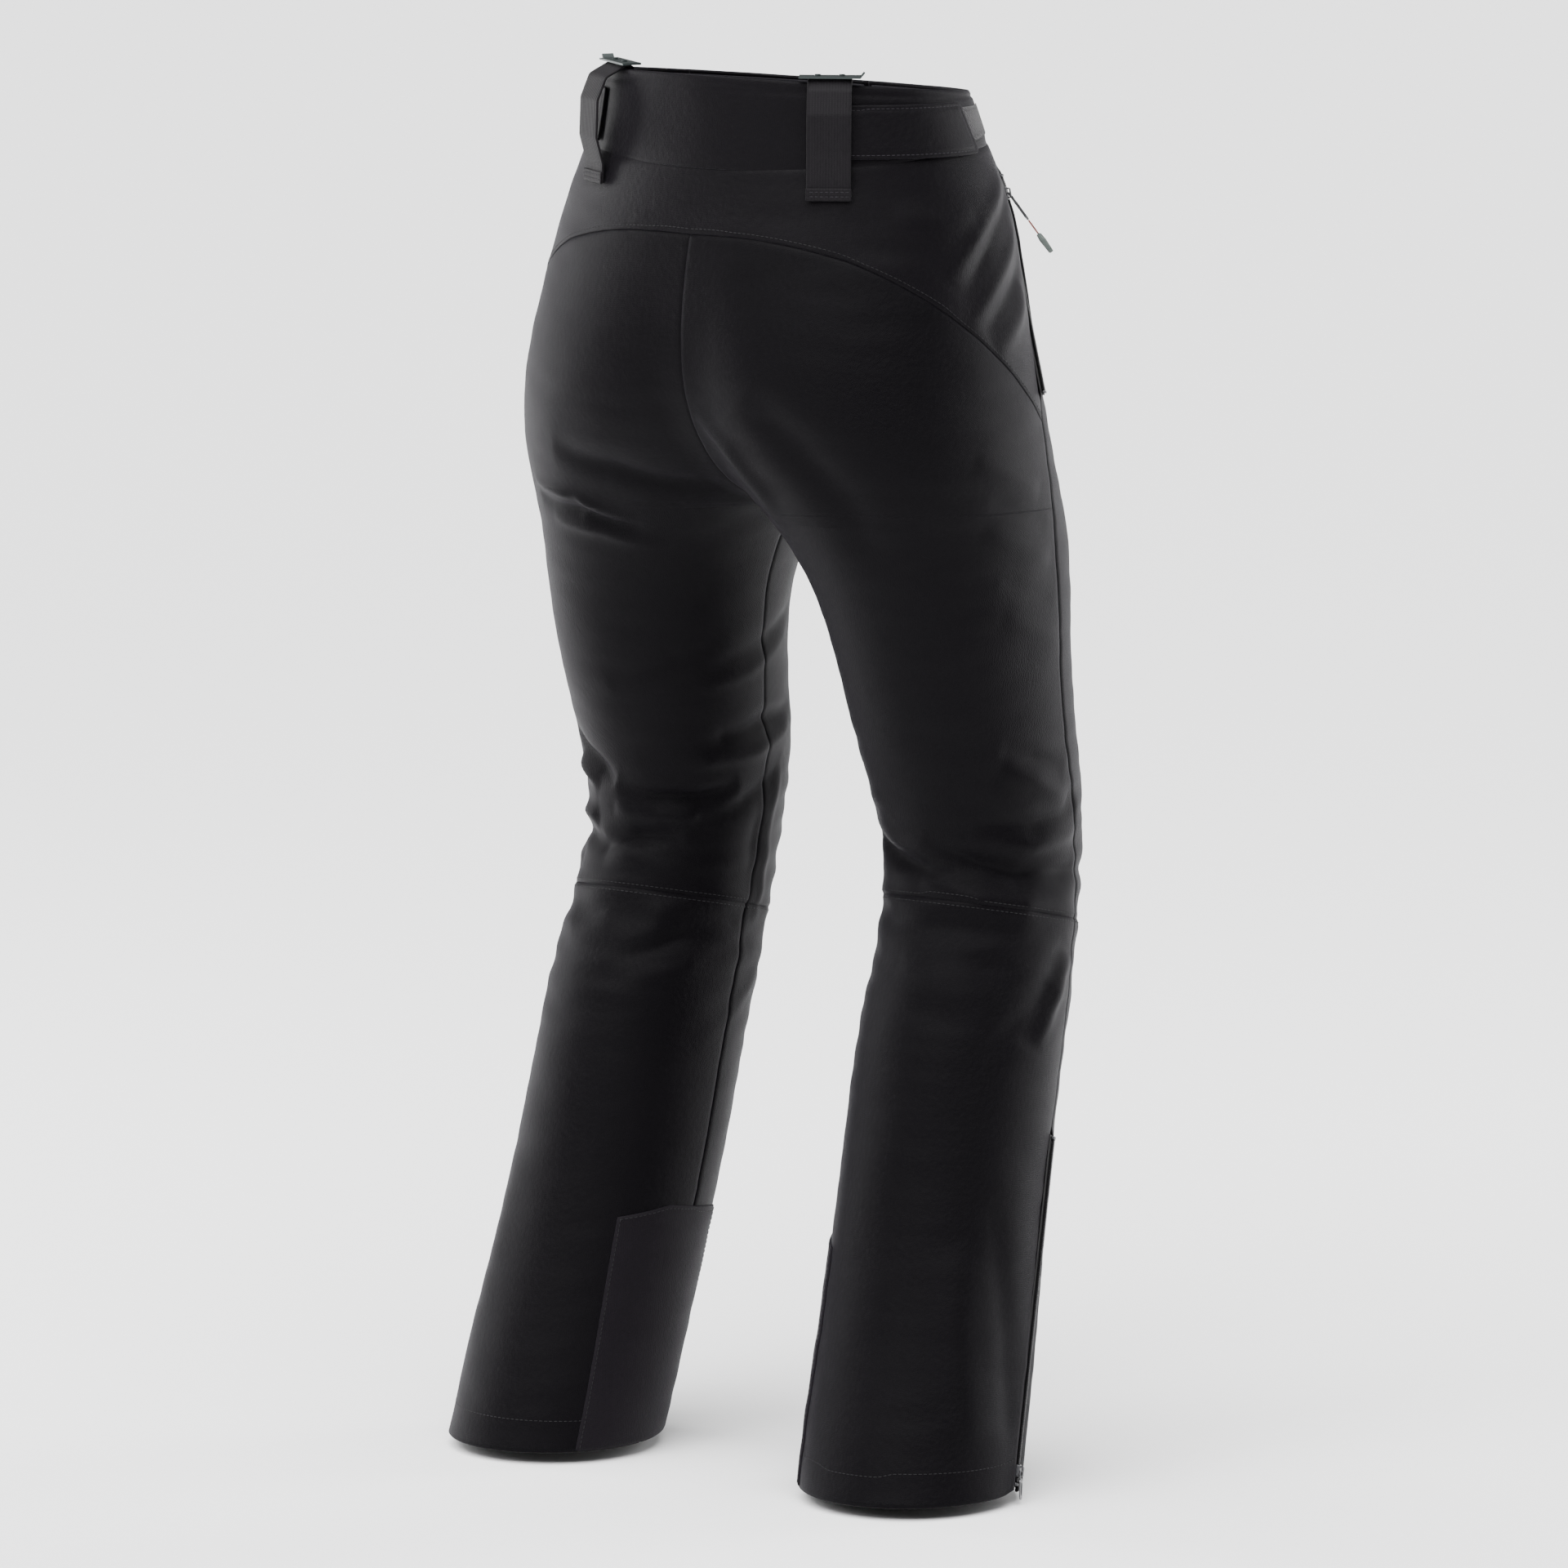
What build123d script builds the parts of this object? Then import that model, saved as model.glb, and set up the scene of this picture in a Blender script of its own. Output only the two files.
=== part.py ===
from build123d import *
import os

os.makedirs("parts", exist_ok=True)

# Ski trousers, as worn by a standing figure with slightly bent knees.  Millimetres.
# +Z is up, the wearer faces -Y and the wearer's left is +X.
# The origin is the centre of the waist opening, half way up the waistband.

# Outer shape of the left half, as ellipses at falling heights:
# height, centre x, centre y, half width in x, half width in y.
# Above the crotch the ellipse crosses x = 0 and is cut there, where the rise seams run.
LEVELS = [
    (60, 0, 3, 133, 104),
    (30, 0, 0, 145, 109),
    (0, 0, -3, 155, 114),
    (-60, 18, -7, 159, 125),
    (-140, 44, -1, 152, 137),
    (-205, 70, 0, 137, 139),
    (-265, 94, -10, 119, 131),
    (-315, 114, -24, 99, 119),
    (-375, 127, -32, 87, 103),
    (-450, 131, -47, 80, 94),
    (-510, 134, -61, 76, 87),
    (-575, 139, -63, 71, 81),
    (-655, 144, -39, 75, 84),
    (-735, 146, -15, 77, 85),
    (-815, 150, 6, 78, 84),
    (-895, 155, 31, 79, 84),
    (-975, 161, 57, 81, 85),
    (-1055, 168, 83, 82, 85),
]
# The waistband is a full ring: height, centre y, half widths in x and y.
WAIST_LEVELS = [(60, 3, 133, 104), (30, 0, 145, 109), (0, -3, 155, 114), (-45, -6, 170, 122)]

# Layers, as depths below the outer surface.
FACE_FABRIC = 2.0
LINING_FACE = 3.0
LINING_BACK = 3.8
POCKET_FACE = 4.6
POCKET_BACK = 6.0
BAND_PROUD = 1.2
BAND_DEEP = 2.8
FACING = 0.8
LAYER_GAP = 0.1
HEM = -1020
HEM_FACING_HEIGHT = 20
LINING_ABOVE_HEM = 22
FRONT_GAP = 0.6
FACING_GAP = 6

# Larger than the garment, for cutting regions, and the least volume that isn't a cutting scrap.
FAR = 600
SCRAP = 1.0
SIDES = {"left": 1, "right": -1}

# Seams, as lines seen from the side: (y, z).
BAND_TOP = [(-250, -0.8), (250, 50.8)]
BAND_SEAM = [(-250, -20), (20, -20), (112, -31), (250, -48)]
YOKE_SEAM = [(-90, -254), (-46, -217), (98, -94), (120, -80), (250, -40)]
SIDE_SEAM = [(-62, 90), (-63, -20), (-67, -60), (-65, -130), (-57, -208), (-55, -270), (-57, -340),
             (-68, -440), (-83, -510), (-90, -565), (-70, -655), (-50, -735), (-40, -765), (47, -1020),
             (60, -1060)]
KNEE_SLOPE = 0.23
KNEE_Y = 20
KNEE_Z = {"left": -602, "right": -582}

# Zips: first and last point of the chain's centre line on the left side, and the way out.
POCKET_ZIP = ((149, -67, -43), (196, -57, -206), (0.93, -0.35, 0.1))
ANKLE_ZIP = ((218, -40, -765), (243, 47, -1017), (0.94, -0.32, 0))
FLY_ZIP = ((0, -123.5, -38), (0, -128, -152), (0, -1, 0))
TAPE_WIDTH = 13
TAPE = 0.8
CHAIN_WIDTH = 5.0
CHAIN = 1.4
RAIL_WIDTH = 1.6
RAIL = 0.9
PLAY = 0.2
SLIDER_LENGTH = 10
SLIDER_WALL = 0.8
LIP = 0.5
BRIDGE_RISE = 1.8
BRIDGE_WIDTH = 2.6
BRIDGE_LENGTH = 7.6
BRIDGE_BAR = 0.8
EYE_WIDTH = 3.8
EYE_REACH = 5.4
EYE_ROD = 0.5
STOP = 2.0
STOP_OVERHANG = 1.0
CHAIN_END = 1.0
SLOT_DEPTH = 30
CORNER_RADIUS = 1.6
BRIDGE_RADIUS = 1.2
PULL_WIDTH = 6
PULL_LENGTH = 16
POCKET_PULL_LENGTH = 20
PULL_RIM = 1.5
LINK_LENGTH = 12.7
LINK_WIDTH = 2.6
LINK_WIRE = 0.9
LINK_GAP = 0.3
TIP_LENGTH = 17
TIP_WIDTH = 9
TIP_NECK = 1.5
TIP_END = 1.0
TIP_THICKNESS = 3.4
TIP_BEVEL = 0.6
TIP_WIDEST = 0.35
TIP_GAP = 0.2
# How far each slider stands from its end of the chain, and how far its pull tilts off it.
POCKET_SLIDER = 16
POCKET_TILT = 25
ANKLE_SLIDER = 12
ANKLE_TILT = 4
FLY_SLIDER = 12
FLY_TILT = 2

# Back loops for braces, and the hook-and-loop waist adjusters.
LOOP_X = 100
LOOP_WIDTH = 32
WEBBING = 1.8
FOLD_RADIUS = 2.6
LOOP_BULGE = {"left": 15, "right": 7}
PLATE_LENGTH = 46
PLATE_WIDTH = 15
PLATE = 1.4
PLATE_HEIGHT = 39
PLATE_SETBACK = -8
PLATE_LIP = 5
PLATE_LIP_TILT = 50
PLATE_LIP_WIDTH = 9
RIVET_SUNK = 0.5
RIVET_SPREAD = 9
RIVET_RADIUS = 2.2
RIVET = 1.4
TAB_OUTLINE = [(72, 18), (-8, 15), (-18, -23), (72, -21)]
PATCH_OUTLINE = [(30, 13), (-58, 9), (-58, -12), (30, -16)]
# Outer and inner outsets from the band's own surface.
TAB_OUTSETS = (4.4, 2.5)
PATCH_OUTSETS = (2.2, 1.3)
CLOSURE_OUTSETS = (5.0, 3.4)

# Front closure: overlap tab with two press studs.
CLOSURE_LEFT = 46
CLOSURE_RIGHT = -20
CLOSURE_TOP = 8
CLOSURE_LOW = -18
STUD_SPOTS = (14, 34)
STUD_HEIGHT = -5
STUD_LEAN = 0.0022
CAP_RADIUS = 6.5
CAP = 1.4
CAP_EDGE = 0.9
CAP_OUTSET = 7.3
POST_FLANGE_RADIUS = 5
POST_FLANGE = 0.6
POST_RADIUS = 2
POST = 1.0
POST_OUTSET = 3.1

# Scuff guards, snow gaiters and pocket bags.
GUARD = 1.4
GUARD_X = 140
GUARD_OUTLINE = [(-28, -852), (42, -840), (78, -846), (104, -936), (128, HEM + 1), (0, HEM + 1)]
GAITER = 1.0
GAITER_LEVELS = [(-800, 149, 2, 71, 77), (-890, 155, 30, 67, 71), (-980, 162, 59, 62, 66)]
POCKET_X = 70
POCKET_OUTLINE = [(-52, -36), (-96, -40), (-112, -150), (-108, -236), (-70, -246), (-46, -214)]


def outline(points):
    """Face in the side view through (y, z) corners, pushed out both ways across the garment."""
    corners = [(0, y, z) for y, z in points]
    face = make_face(Polyline(*corners, close=True))
    return extrude(face, FAR, dir=(1, 0, 0), both=True)


def region_under(line):
    """Everything below a side-view line."""
    return outline(line + [(line[-1][0], -2 * FAR), (line[0][0], -2 * FAR)])


def front_region():
    """Everything in front of the side seam, which curves smoothly from waist to hem."""
    seam = Spline(*[(0, y, z) for y, z in SIDE_SEAM])
    top = seam @ 0
    bottom = seam @ 1
    rest = Polyline(bottom, (0, -FAR, bottom.Z), (0, -FAR, top.Z), top)
    return extrude(make_face([seam, rest]), FAR, dir=(1, 0, 0), both=True)


def half_body(inset):
    """The left half's solid, its surface moved in by inset."""
    rings = []
    for z, cx, cy, a, b in LEVELS:
        rings.append(Pos(cx, cy, z) * Ellipse(a - inset, b - inset))
    body = loft(rings)
    return body & Pos(FAR / 2, 0, -FAR) * Box(FAR, FAR, 3 * FAR)


def half_layer(outer, inner):
    return half_body(outer) - half_body(inner)


def waist_layer(outer, inner):
    """A ring of the waistband's shape between two outsets from the surface."""
    solids = []
    for outset in (outer, inner):
        rings = []
        for z, cy, a, b in WAIST_LEVELS:
            rings.append(Pos(0, cy, z) * Ellipse(a + outset, b + outset))
        solids.append(loft(rings))
    return solids[0] - solids[1]


def under_knee(side):
    rise = KNEE_SLOPE * FAR
    return region_under([(KNEE_Y - FAR, KNEE_Z[side] - rise), (KNEE_Y + FAR, KNEE_Z[side] + rise)])


def band_between(high, low):
    """All that lies between two heights."""
    return Pos(0, 0, (high + low) / 2) * Box(2 * FAR, 2 * FAR, high - low)


def half_space(side):
    """All that is on one side of the middle plane, near the waist."""
    return Pos(SIDES[side] * FAR / 2, 0, 0) * Box(FAR, FAR, FAR)


def on_side(solid, side):
    """A left piece, or its mirror image."""
    return solid if side == "left" else solid.mirror(Plane.YZ)


def save(name, shape):
    """Writes one piece, largest solid first, without cutting scraps."""
    solids = shape.solids() if hasattr(shape, "solids") else [shape]
    solids = sorted(solids, key=lambda s: -s.volume)
    kept = [s for s in solids if s.volume > SCRAP]
    export_step(Compound(children=kept) if len(kept) > 1 else kept[0], f"parts/{name}.step")


# --- zips ---------------------------------------------------------------------------------

def zip_plane(start, end, out):
    """Frame of a zip: x runs down the chain, y across it and z out of the fabric."""
    along = (Vector(*end) - Vector(*start)).normalized()
    outward = Vector(*out)
    outward = (outward - along * outward.dot(along)).normalized()
    return Plane(origin=start, x_dir=along, z_dir=outward)


def zip_length(start, end):
    return (Vector(*end) - Vector(*start)).length


def zip_slot(start, end, out):
    """Room for the zip through every layer of the fabric."""
    length = zip_length(start, end)
    slot = Pos(length / 2, 0, 0) * Box(length, TAPE_WIDTH, SLOT_DEPTH)
    return zip_plane(start, end, out) * slot


def zip_chain(start, end, out):
    """Tape, rail and chain with a stop at each end."""
    length = zip_length(start, end)
    tape = Pos(length / 2, 0, TAPE / 2) * Box(length, TAPE_WIDTH, TAPE)
    run = length - 2 * CHAIN_END
    rail = Pos(length / 2, 0, TAPE + RAIL / 2) * Box(run, RAIL_WIDTH, RAIL)
    head = Pos(length / 2, 0, TAPE + RAIL + CHAIN / 2) * Box(run, CHAIN_WIDTH, CHAIN)
    chain = tape + rail + head
    stop_height = RAIL + CHAIN + STOP_OVERHANG
    for x in (CHAIN_END + STOP / 2, length - CHAIN_END - STOP / 2):
        stop = Box(STOP, CHAIN_WIDTH + 2 * STOP_OVERHANG, stop_height)
        chain += Pos(x, 0, TAPE + stop_height / 2) * stop
    return zip_plane(start, end, out) * chain


def slider_top():
    """Height of the slider's upper face above the back of the tape."""
    return TAPE + RAIL + CHAIN + PLAY + SLIDER_WALL


def zip_slider(start, end, out, place):
    """Slider round the chain head, with the bridge that carries its pull."""
    width = CHAIN_WIDTH + 2 * (PLAY + SLIDER_WALL)
    low = TAPE + RAIL - PLAY - LIP
    high = slider_top()
    body = Pos(0, 0, (low + high) / 2) * Box(SLIDER_LENGTH, width, high - low)
    body = fillet(body.edges().filter_by(Axis.Z), CORNER_RADIUS)
    channel_high = TAPE + RAIL + CHAIN + PLAY
    channel_low = TAPE + RAIL - PLAY
    body -= Pos(0, 0, (channel_low + channel_high) / 2) * Box(
        FAR, CHAIN_WIDTH + 2 * PLAY, channel_high - channel_low)
    body -= Pos(0, 0, low) * Box(FAR, RAIL_WIDTH + 2 * PLAY, 4 * LIP)
    bridge = Pos(0, 0, high + (BRIDGE_RISE + BRIDGE_BAR) / 2) * Box(
        BRIDGE_LENGTH, BRIDGE_WIDTH, BRIDGE_RISE + BRIDGE_BAR)
    bridge = fillet(bridge.edges().filter_by(Axis.Y).group_by(Axis.Z)[-1], BRIDGE_RADIUS)
    bridge -= Pos(0, 0, high + BRIDGE_RISE / 2) * Box(
        BRIDGE_LENGTH - 2 * BRIDGE_BAR, FAR, BRIDGE_RISE)
    return zip_plane(start, end, out) * Pos(place, 0, 0) * (body + bridge)


def pull_axis(start, end, out, place):
    """Where the pull turns on the slider's bridge."""
    frame = zip_plane(start, end, out)
    return frame * Pos(place, 0, slider_top() + BRIDGE_RISE / 2)


def pull_eye():
    """The frame that goes round the bridge, in the pull's own plane with x towards its tip."""
    rod = 2 * EYE_ROD
    outer = EYE_WIDTH + 2 * rod
    eye = Pos(EYE_REACH / 2 + EYE_ROD, 0, 0) * Box(EYE_REACH + rod, outer, rod)
    eye -= Pos(EYE_REACH / 2, 0, 0) * Box(EYE_REACH, EYE_WIDTH, 2 * rod)
    return eye + Rot(90, 0, 0) * Cylinder(EYE_ROD, outer)


def metal_tab(length):
    """Flat metal tab with a long window and a round end."""
    tab = SlotOverall(length, PULL_WIDTH)
    window = SlotOverall(length - 4 * PULL_RIM, PULL_WIDTH - 2 * PULL_RIM)
    return Pos(EYE_REACH + length / 2, 0, 0) * extrude(tab - window, EYE_ROD, both=True)


def wire_link():
    """Thin wire link beyond the pull's end, as a slim closed loop."""
    loop = SlotOverall(LINK_LENGTH, LINK_WIDTH)
    loop -= SlotOverall(LINK_LENGTH - 2 * LINK_WIRE, LINK_WIDTH - 2 * LINK_WIRE)
    near = EYE_REACH + POCKET_PULL_LENGTH + LINK_GAP
    return Pos(near + LINK_LENGTH / 2, 0, 0) * extrude(loop, LINK_WIRE / 2, both=True)


def moulded_tip():
    """Diamond shaped moulded grip beyond the wire link."""
    widest = TIP_LENGTH * TIP_WIDEST
    shape = Polyline((0, -TIP_NECK), (widest, -TIP_WIDTH / 2), (TIP_LENGTH, -TIP_END), (TIP_LENGTH, TIP_END),
                     (widest, TIP_WIDTH / 2), (0, TIP_NECK), close=True)
    grip = extrude(make_face(shape), TIP_THICKNESS / 2, both=True)
    grip = chamfer(grip.edges().group_by(Axis.Z)[-1] + grip.edges().group_by(Axis.Z)[0], TIP_BEVEL)
    near = EYE_REACH + POCKET_PULL_LENGTH + LINK_GAP + LINK_LENGTH + TIP_GAP
    return Pos(near, 0, 0) * grip


def make_zip(name, side, line, place, tilt, pull_length):
    """Chain, slider and pull of one zip; tilt swings the pull away from the chain."""
    ending = f"_{side}" if side else ""
    save(f"{name}_chain{ending}", on_side(zip_chain(*line), side or "left"))
    save(f"{name}_slider{ending}", on_side(zip_slider(*line, place), side or "left"))
    turn = pull_axis(*line, place) * Rot(0, -tilt, 0)
    save(f"{name}_pull{ending}", on_side(turn * (pull_eye() + metal_tab(pull_length)), side or "left"))
    return turn


# --- shell panels ---------------------------------------------------------------------------

front = front_region()
below_band = region_under(BAND_SEAM)
below_yoke = region_under(YOKE_SEAM)
below_top = region_under(BAND_TOP)
above_hem = band_between(FAR, HEM)
slots = [zip_slot(*POCKET_ZIP), zip_slot(*ANKLE_ZIP), zip_slot(*FLY_ZIP)]

face = half_layer(0, FACE_FABRIC) & below_band & above_hem
for slot in slots:
    face -= slot
face_front = face & front
face_rear = face - front
yoke_half = face_rear - below_yoke
rear_leg = face_rear & below_yoke
save("back_yoke", yoke_half + yoke_half.mirror(Plane.YZ))

lining = half_layer(LINING_FACE, LINING_BACK) & below_band & band_between(FAR, HEM + LINING_ABOVE_HEM)
for slot in slots:
    lining -= slot
hem_ring = half_layer(FACE_FABRIC + LAYER_GAP, LINING_FACE - LAYER_GAP)
hem_ring = hem_ring & band_between(HEM + HEM_FACING_HEIGHT, HEM)
hem_ring -= zip_slot(*ANKLE_ZIP)
for side in SIDES:
    knee = under_knee(side)
    save(f"front_panel_{side}", on_side(face_front - knee, side))
    save(f"back_panel_{side}", on_side(rear_leg - knee, side))
    save(f"shin_front_{side}", on_side(face_front & knee, side))
    save(f"shin_back_{side}", on_side(rear_leg & knee, side))
    save(f"thigh_lining_{side}", on_side(lining - knee, side))
    save(f"shin_lining_{side}", on_side(lining & knee, side))
    save(f"hem_facing_{side}", on_side(hem_ring, side))

# --- scuff guards on the inner ankles -------------------------------------------------------

guard = half_layer(-GUARD - LAYER_GAP, -LAYER_GAP) & outline(GUARD_OUTLINE)
guard &= Pos(GUARD_X - FAR / 2, 0, 0) * Box(FAR, FAR, 3 * FAR)

# --- snow gaiters and hand pockets ----------------------------------------------------------


def gaiter():
    """Tube of light cloth inside the hem, narrowing towards the boot."""
    skins = []
    for inset in (0, GAITER):
        rings = []
        for z, x, y, a, b in GAITER_LEVELS:
            rings.append(Pos(x, y, z) * Ellipse(a - inset, b - inset))
        skins.append(loft(rings))
    return skins[0] - skins[1]


pocket_bag = half_layer(POCKET_FACE, POCKET_BACK) & outline(POCKET_OUTLINE)
pocket_bag &= Pos(POCKET_X + FAR / 2, 0, 0) * Box(FAR, 2 * FAR, 2 * FAR)
pocket_bag -= zip_slot(*POCKET_ZIP)
for side in SIDES:
    save(f"scuff_guard_{side}", on_side(guard, side))
    save(f"snow_gaiter_{side}", on_side(gaiter(), side))
    save(f"pocket_bag_{side}", on_side(pocket_bag, side))

# --- waistband ------------------------------------------------------------------------------

band = waist_layer(BAND_PROUD, -BAND_DEEP) & below_top
band -= below_band
band_front = band & front
save("waistband_back", band - front)
band_front -= Box(FRONT_GAP, 2 * FAR, 2 * FAR)
for side in SIDES:
    save(f"waistband_front_{side}", band_front & half_space(side))
facing_face = -BAND_DEEP - LAYER_GAP
facing = (waist_layer(facing_face, facing_face - FACING) & below_top) - below_band
save("waistband_facing", facing - Pos(0, -FAR / 2, 0) * Box(FACING_GAP, FAR, FAR))

# --- waist adjusters ------------------------------------------------------------------------

tab = waist_layer(*TAB_OUTSETS) & outline(TAB_OUTLINE)
patch = waist_layer(*PATCH_OUTSETS) & outline(PATCH_OUTLINE)
for side in SIDES:
    save(f"adjuster_tab_{side}", tab & half_space(side))
    save(f"adjuster_patch_{side}", patch & half_space(side))

# --- front closure: overlap tab with two press studs ------------------------------------------

closure = waist_layer(*CLOSURE_OUTSETS) & band_between(CLOSURE_TOP, CLOSURE_LOW)
middle = (CLOSURE_LEFT + CLOSURE_RIGHT) / 2
closure &= Pos(middle, -FAR / 2, 0) * Box(CLOSURE_LEFT - CLOSURE_RIGHT, FAR, FAR)
save("closure_tab", closure)


def band_spot(x, outset):
    """Frame on the front of the waistband at one x, its z pointing out of the fabric."""
    _, cy, a, b = WAIST_LEVELS[2]
    depth = b * (1 - (x / a) ** 2) ** 0.5
    out = Vector(x / a ** 2, -depth / b ** 2, STUD_LEAN).normalized()
    point = Vector(x, cy - depth, STUD_HEIGHT) + out * outset
    return Plane(origin=point, x_dir=Vector(0, 0, 1).cross(out).normalized(), z_dir=out)


caps = []
studs = []
for x in STUD_SPOTS:
    cap = fillet(Cylinder(CAP_RADIUS, CAP).edges().group_by(Axis.Z)[-1], CAP_EDGE)
    caps.append(band_spot(x, CAP_OUTSET) * cap)
    flange = Cylinder(POST_FLANGE_RADIUS, POST_FLANGE)
    post = Pos(0, 0, POST_FLANGE) * Cylinder(POST_RADIUS, POST)
    studs.append(band_spot(x, POST_OUTSET) * (flange + post))
save("press_stud_caps", Compound(children=caps))
save("press_stud_posts", Compound(children=studs))

# --- brace loops at the back ------------------------------------------------------------------


def loop_frame():
    """Frame of the left loop: x along the waist, y up, z out of the waistband."""
    _, cy, a, b = WAIST_LEVELS[2]
    point = Vector(LOOP_X, cy + b * (1 - (LOOP_X / a) ** 2) ** 0.5, 0)
    out = Vector(LOOP_X / a ** 2, (point.Y - cy) / b ** 2, 0).normalized()
    return Plane(origin=point, x_dir=Vector(0, 0, 1).cross(out), z_dir=out)


def brace_loop(bulge):
    """Webbing sewn to the yoke below, standing off the band and folded over its top."""
    outside = [(13.2, -50), (12.8, -36), (3 + bulge, -16), (2 + bulge, 12), (bulge - 5, 29)]
    over = [(-5.5, 37), (-11.5, 37), (-14, 29), (-8, 4)]
    path = FilletPolyline(*(outside + over), radius=FOLD_RADIUS)
    strap = extrude(make_face(offset(path, WEBBING / 2)), LOOP_WIDTH / 2, both=True)
    frame = loop_frame()
    return Plane(origin=frame.origin, x_dir=frame.z_dir, z_dir=-frame.x_dir) * strap


def brace_plate():
    """Thin riveted plate across the top of the loop, one end turned up."""
    plate = Box(PLATE_LENGTH, PLATE, PLATE_WIDTH)
    lip = Rot(0, 0, -PLATE_LIP_TILT) * Box(PLATE_LIP, PLATE, PLATE_LIP_WIDTH)
    plate += Pos(-PLATE_LENGTH / 2 - 0.8, 1.2, 0) * lip
    for x in (-RIVET_SPREAD, RIVET_SPREAD):
        plate += Pos(x, PLATE / 2 + RIVET_SUNK, 0) * Rot(90, 0, 0) * Cylinder(RIVET_RADIUS, RIVET)
    return loop_frame() * Pos(0, PLATE_HEIGHT, PLATE_SETBACK) * plate


for side in SIDES:
    save(f"brace_loop_{side}", on_side(brace_loop(LOOP_BULGE[side]), side))
    save(f"brace_plate_{side}", on_side(brace_plate(), side))

# --- zips --------------------------------------------------------------------------------------

ankle_place = zip_length(*ANKLE_ZIP[:2]) - ANKLE_SLIDER
for side in SIDES:
    turn = make_zip("pocket_zip", side, POCKET_ZIP, POCKET_SLIDER, POCKET_TILT, POCKET_PULL_LENGTH)
    save(f"pocket_zip_pull_link_{side}", on_side(turn * wire_link(), side))
    save(f"pocket_zip_pull_tip_{side}", on_side(turn * moulded_tip(), side))
    make_zip("ankle_zip", side, ANKLE_ZIP, ankle_place, ANKLE_TILT, PULL_LENGTH)
make_zip("fly_zip", "", FLY_ZIP, FLY_SLIDER, FLY_TILT, PULL_LENGTH)
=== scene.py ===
import math

import bpy
import numpy as np
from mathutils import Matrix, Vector, noise


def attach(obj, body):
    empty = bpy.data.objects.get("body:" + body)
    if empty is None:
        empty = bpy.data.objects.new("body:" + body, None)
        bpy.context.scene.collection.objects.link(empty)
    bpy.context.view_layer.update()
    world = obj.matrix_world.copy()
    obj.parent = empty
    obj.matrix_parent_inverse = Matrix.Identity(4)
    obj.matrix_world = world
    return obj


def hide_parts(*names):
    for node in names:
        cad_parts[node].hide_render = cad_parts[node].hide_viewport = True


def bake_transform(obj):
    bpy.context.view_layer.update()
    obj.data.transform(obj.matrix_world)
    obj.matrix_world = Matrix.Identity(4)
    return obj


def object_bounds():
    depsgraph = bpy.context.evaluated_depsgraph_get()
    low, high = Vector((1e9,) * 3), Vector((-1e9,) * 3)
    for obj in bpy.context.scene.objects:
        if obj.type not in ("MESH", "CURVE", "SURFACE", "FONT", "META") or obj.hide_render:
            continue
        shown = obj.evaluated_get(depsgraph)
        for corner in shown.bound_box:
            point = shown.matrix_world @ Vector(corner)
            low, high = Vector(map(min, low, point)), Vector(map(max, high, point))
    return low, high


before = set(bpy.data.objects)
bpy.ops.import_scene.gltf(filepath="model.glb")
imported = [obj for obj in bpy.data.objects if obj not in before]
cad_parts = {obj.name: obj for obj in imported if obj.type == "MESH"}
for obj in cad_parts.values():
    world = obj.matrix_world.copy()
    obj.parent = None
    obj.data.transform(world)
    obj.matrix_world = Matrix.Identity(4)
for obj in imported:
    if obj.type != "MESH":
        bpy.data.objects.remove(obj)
cad_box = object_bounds()

# Lengths below are millimetres, as in the CAD, and meshes are scaled to metres when they are made.
# The wearer faces -Y and the wearer's left is +X.
MM = 0.001
SIDES = {"left": 1, "right": -1}

# The garment's outer shape, the CAD's own levels for the left half: height, centre x and y,
# half widths in x and y.
LEVELS = [
    (60, 0, 3, 133, 104), (30, 0, 0, 145, 109), (0, 0, -3, 155, 114), (-60, 18, -7, 159, 125),
    (-140, 44, -1, 152, 137), (-205, 70, 0, 137, 139), (-265, 94, -10, 119, 131),
    (-315, 114, -24, 99, 119), (-375, 127, -32, 87, 103), (-450, 131, -47, 80, 94),
    (-510, 134, -61, 76, 87), (-575, 139, -63, 71, 81), (-655, 144, -39, 75, 84),
    (-735, 146, -15, 77, 85), (-815, 150, 6, 78, 84), (-895, 155, 31, 79, 84),
    (-975, 161, 57, 81, 85), (-1055, 168, 83, 82, 85),
]
WAIST_LEVELS = [(60, 0, 3, 133, 104), (30, 0, 0, 145, 109), (0, 0, -3, 155, 114), (-45, 0, -6, 170, 122)]
HEM = -1020
# Seams as lines seen from the side, (y, z), the CAD's own.
BAND_SEAM = [(-250, -20), (20, -20), (112, -31), (250, -48)]
BAND_TOP = [(-250, -0.8), (250, 50.8)]
YOKE_SEAM = [(-90, -254), (-46, -217), (98, -94), (120, -80), (250, -40)]
SIDE_SEAM = [(-62, 90), (-63, -20), (-67, -60), (-65, -130), (-57, -208), (-55, -270), (-57, -340),
             (-68, -440), (-83, -510), (-90, -565), (-70, -655), (-50, -735), (-40, -765), (47, -1020),
             (60, -1060)]
KNEE_SLOPE = 0.23
KNEE_Y = 20
KNEE_Z = {"left": -602, "right": -582}
# Zips on the left: first and last point of the chain and the way out of the cloth.
POCKET_ZIP = ((149, -67, -43), (196, -57, -206), (0.93, -0.35, 0.1))
ANKLE_ZIP = ((218, -40, -765), (243, 47, -1017), (0.94, -0.32, 0))
FLY_ZIP = ((0, -123.5, -38), (0, -128, -152), (0, -1, 0))

# Mesh fineness: columns from the centre to the side seam, and rows between the seam lines.
COLUMNS = 112
ROWS = (64, 84, 112, 144)
# How far the panels reach up behind the waistband's seam.
TUCK = 5
# How far a sheet's closed rim stands out, as a share of its thickness.
RIM_ROUND = 0.35


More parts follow.
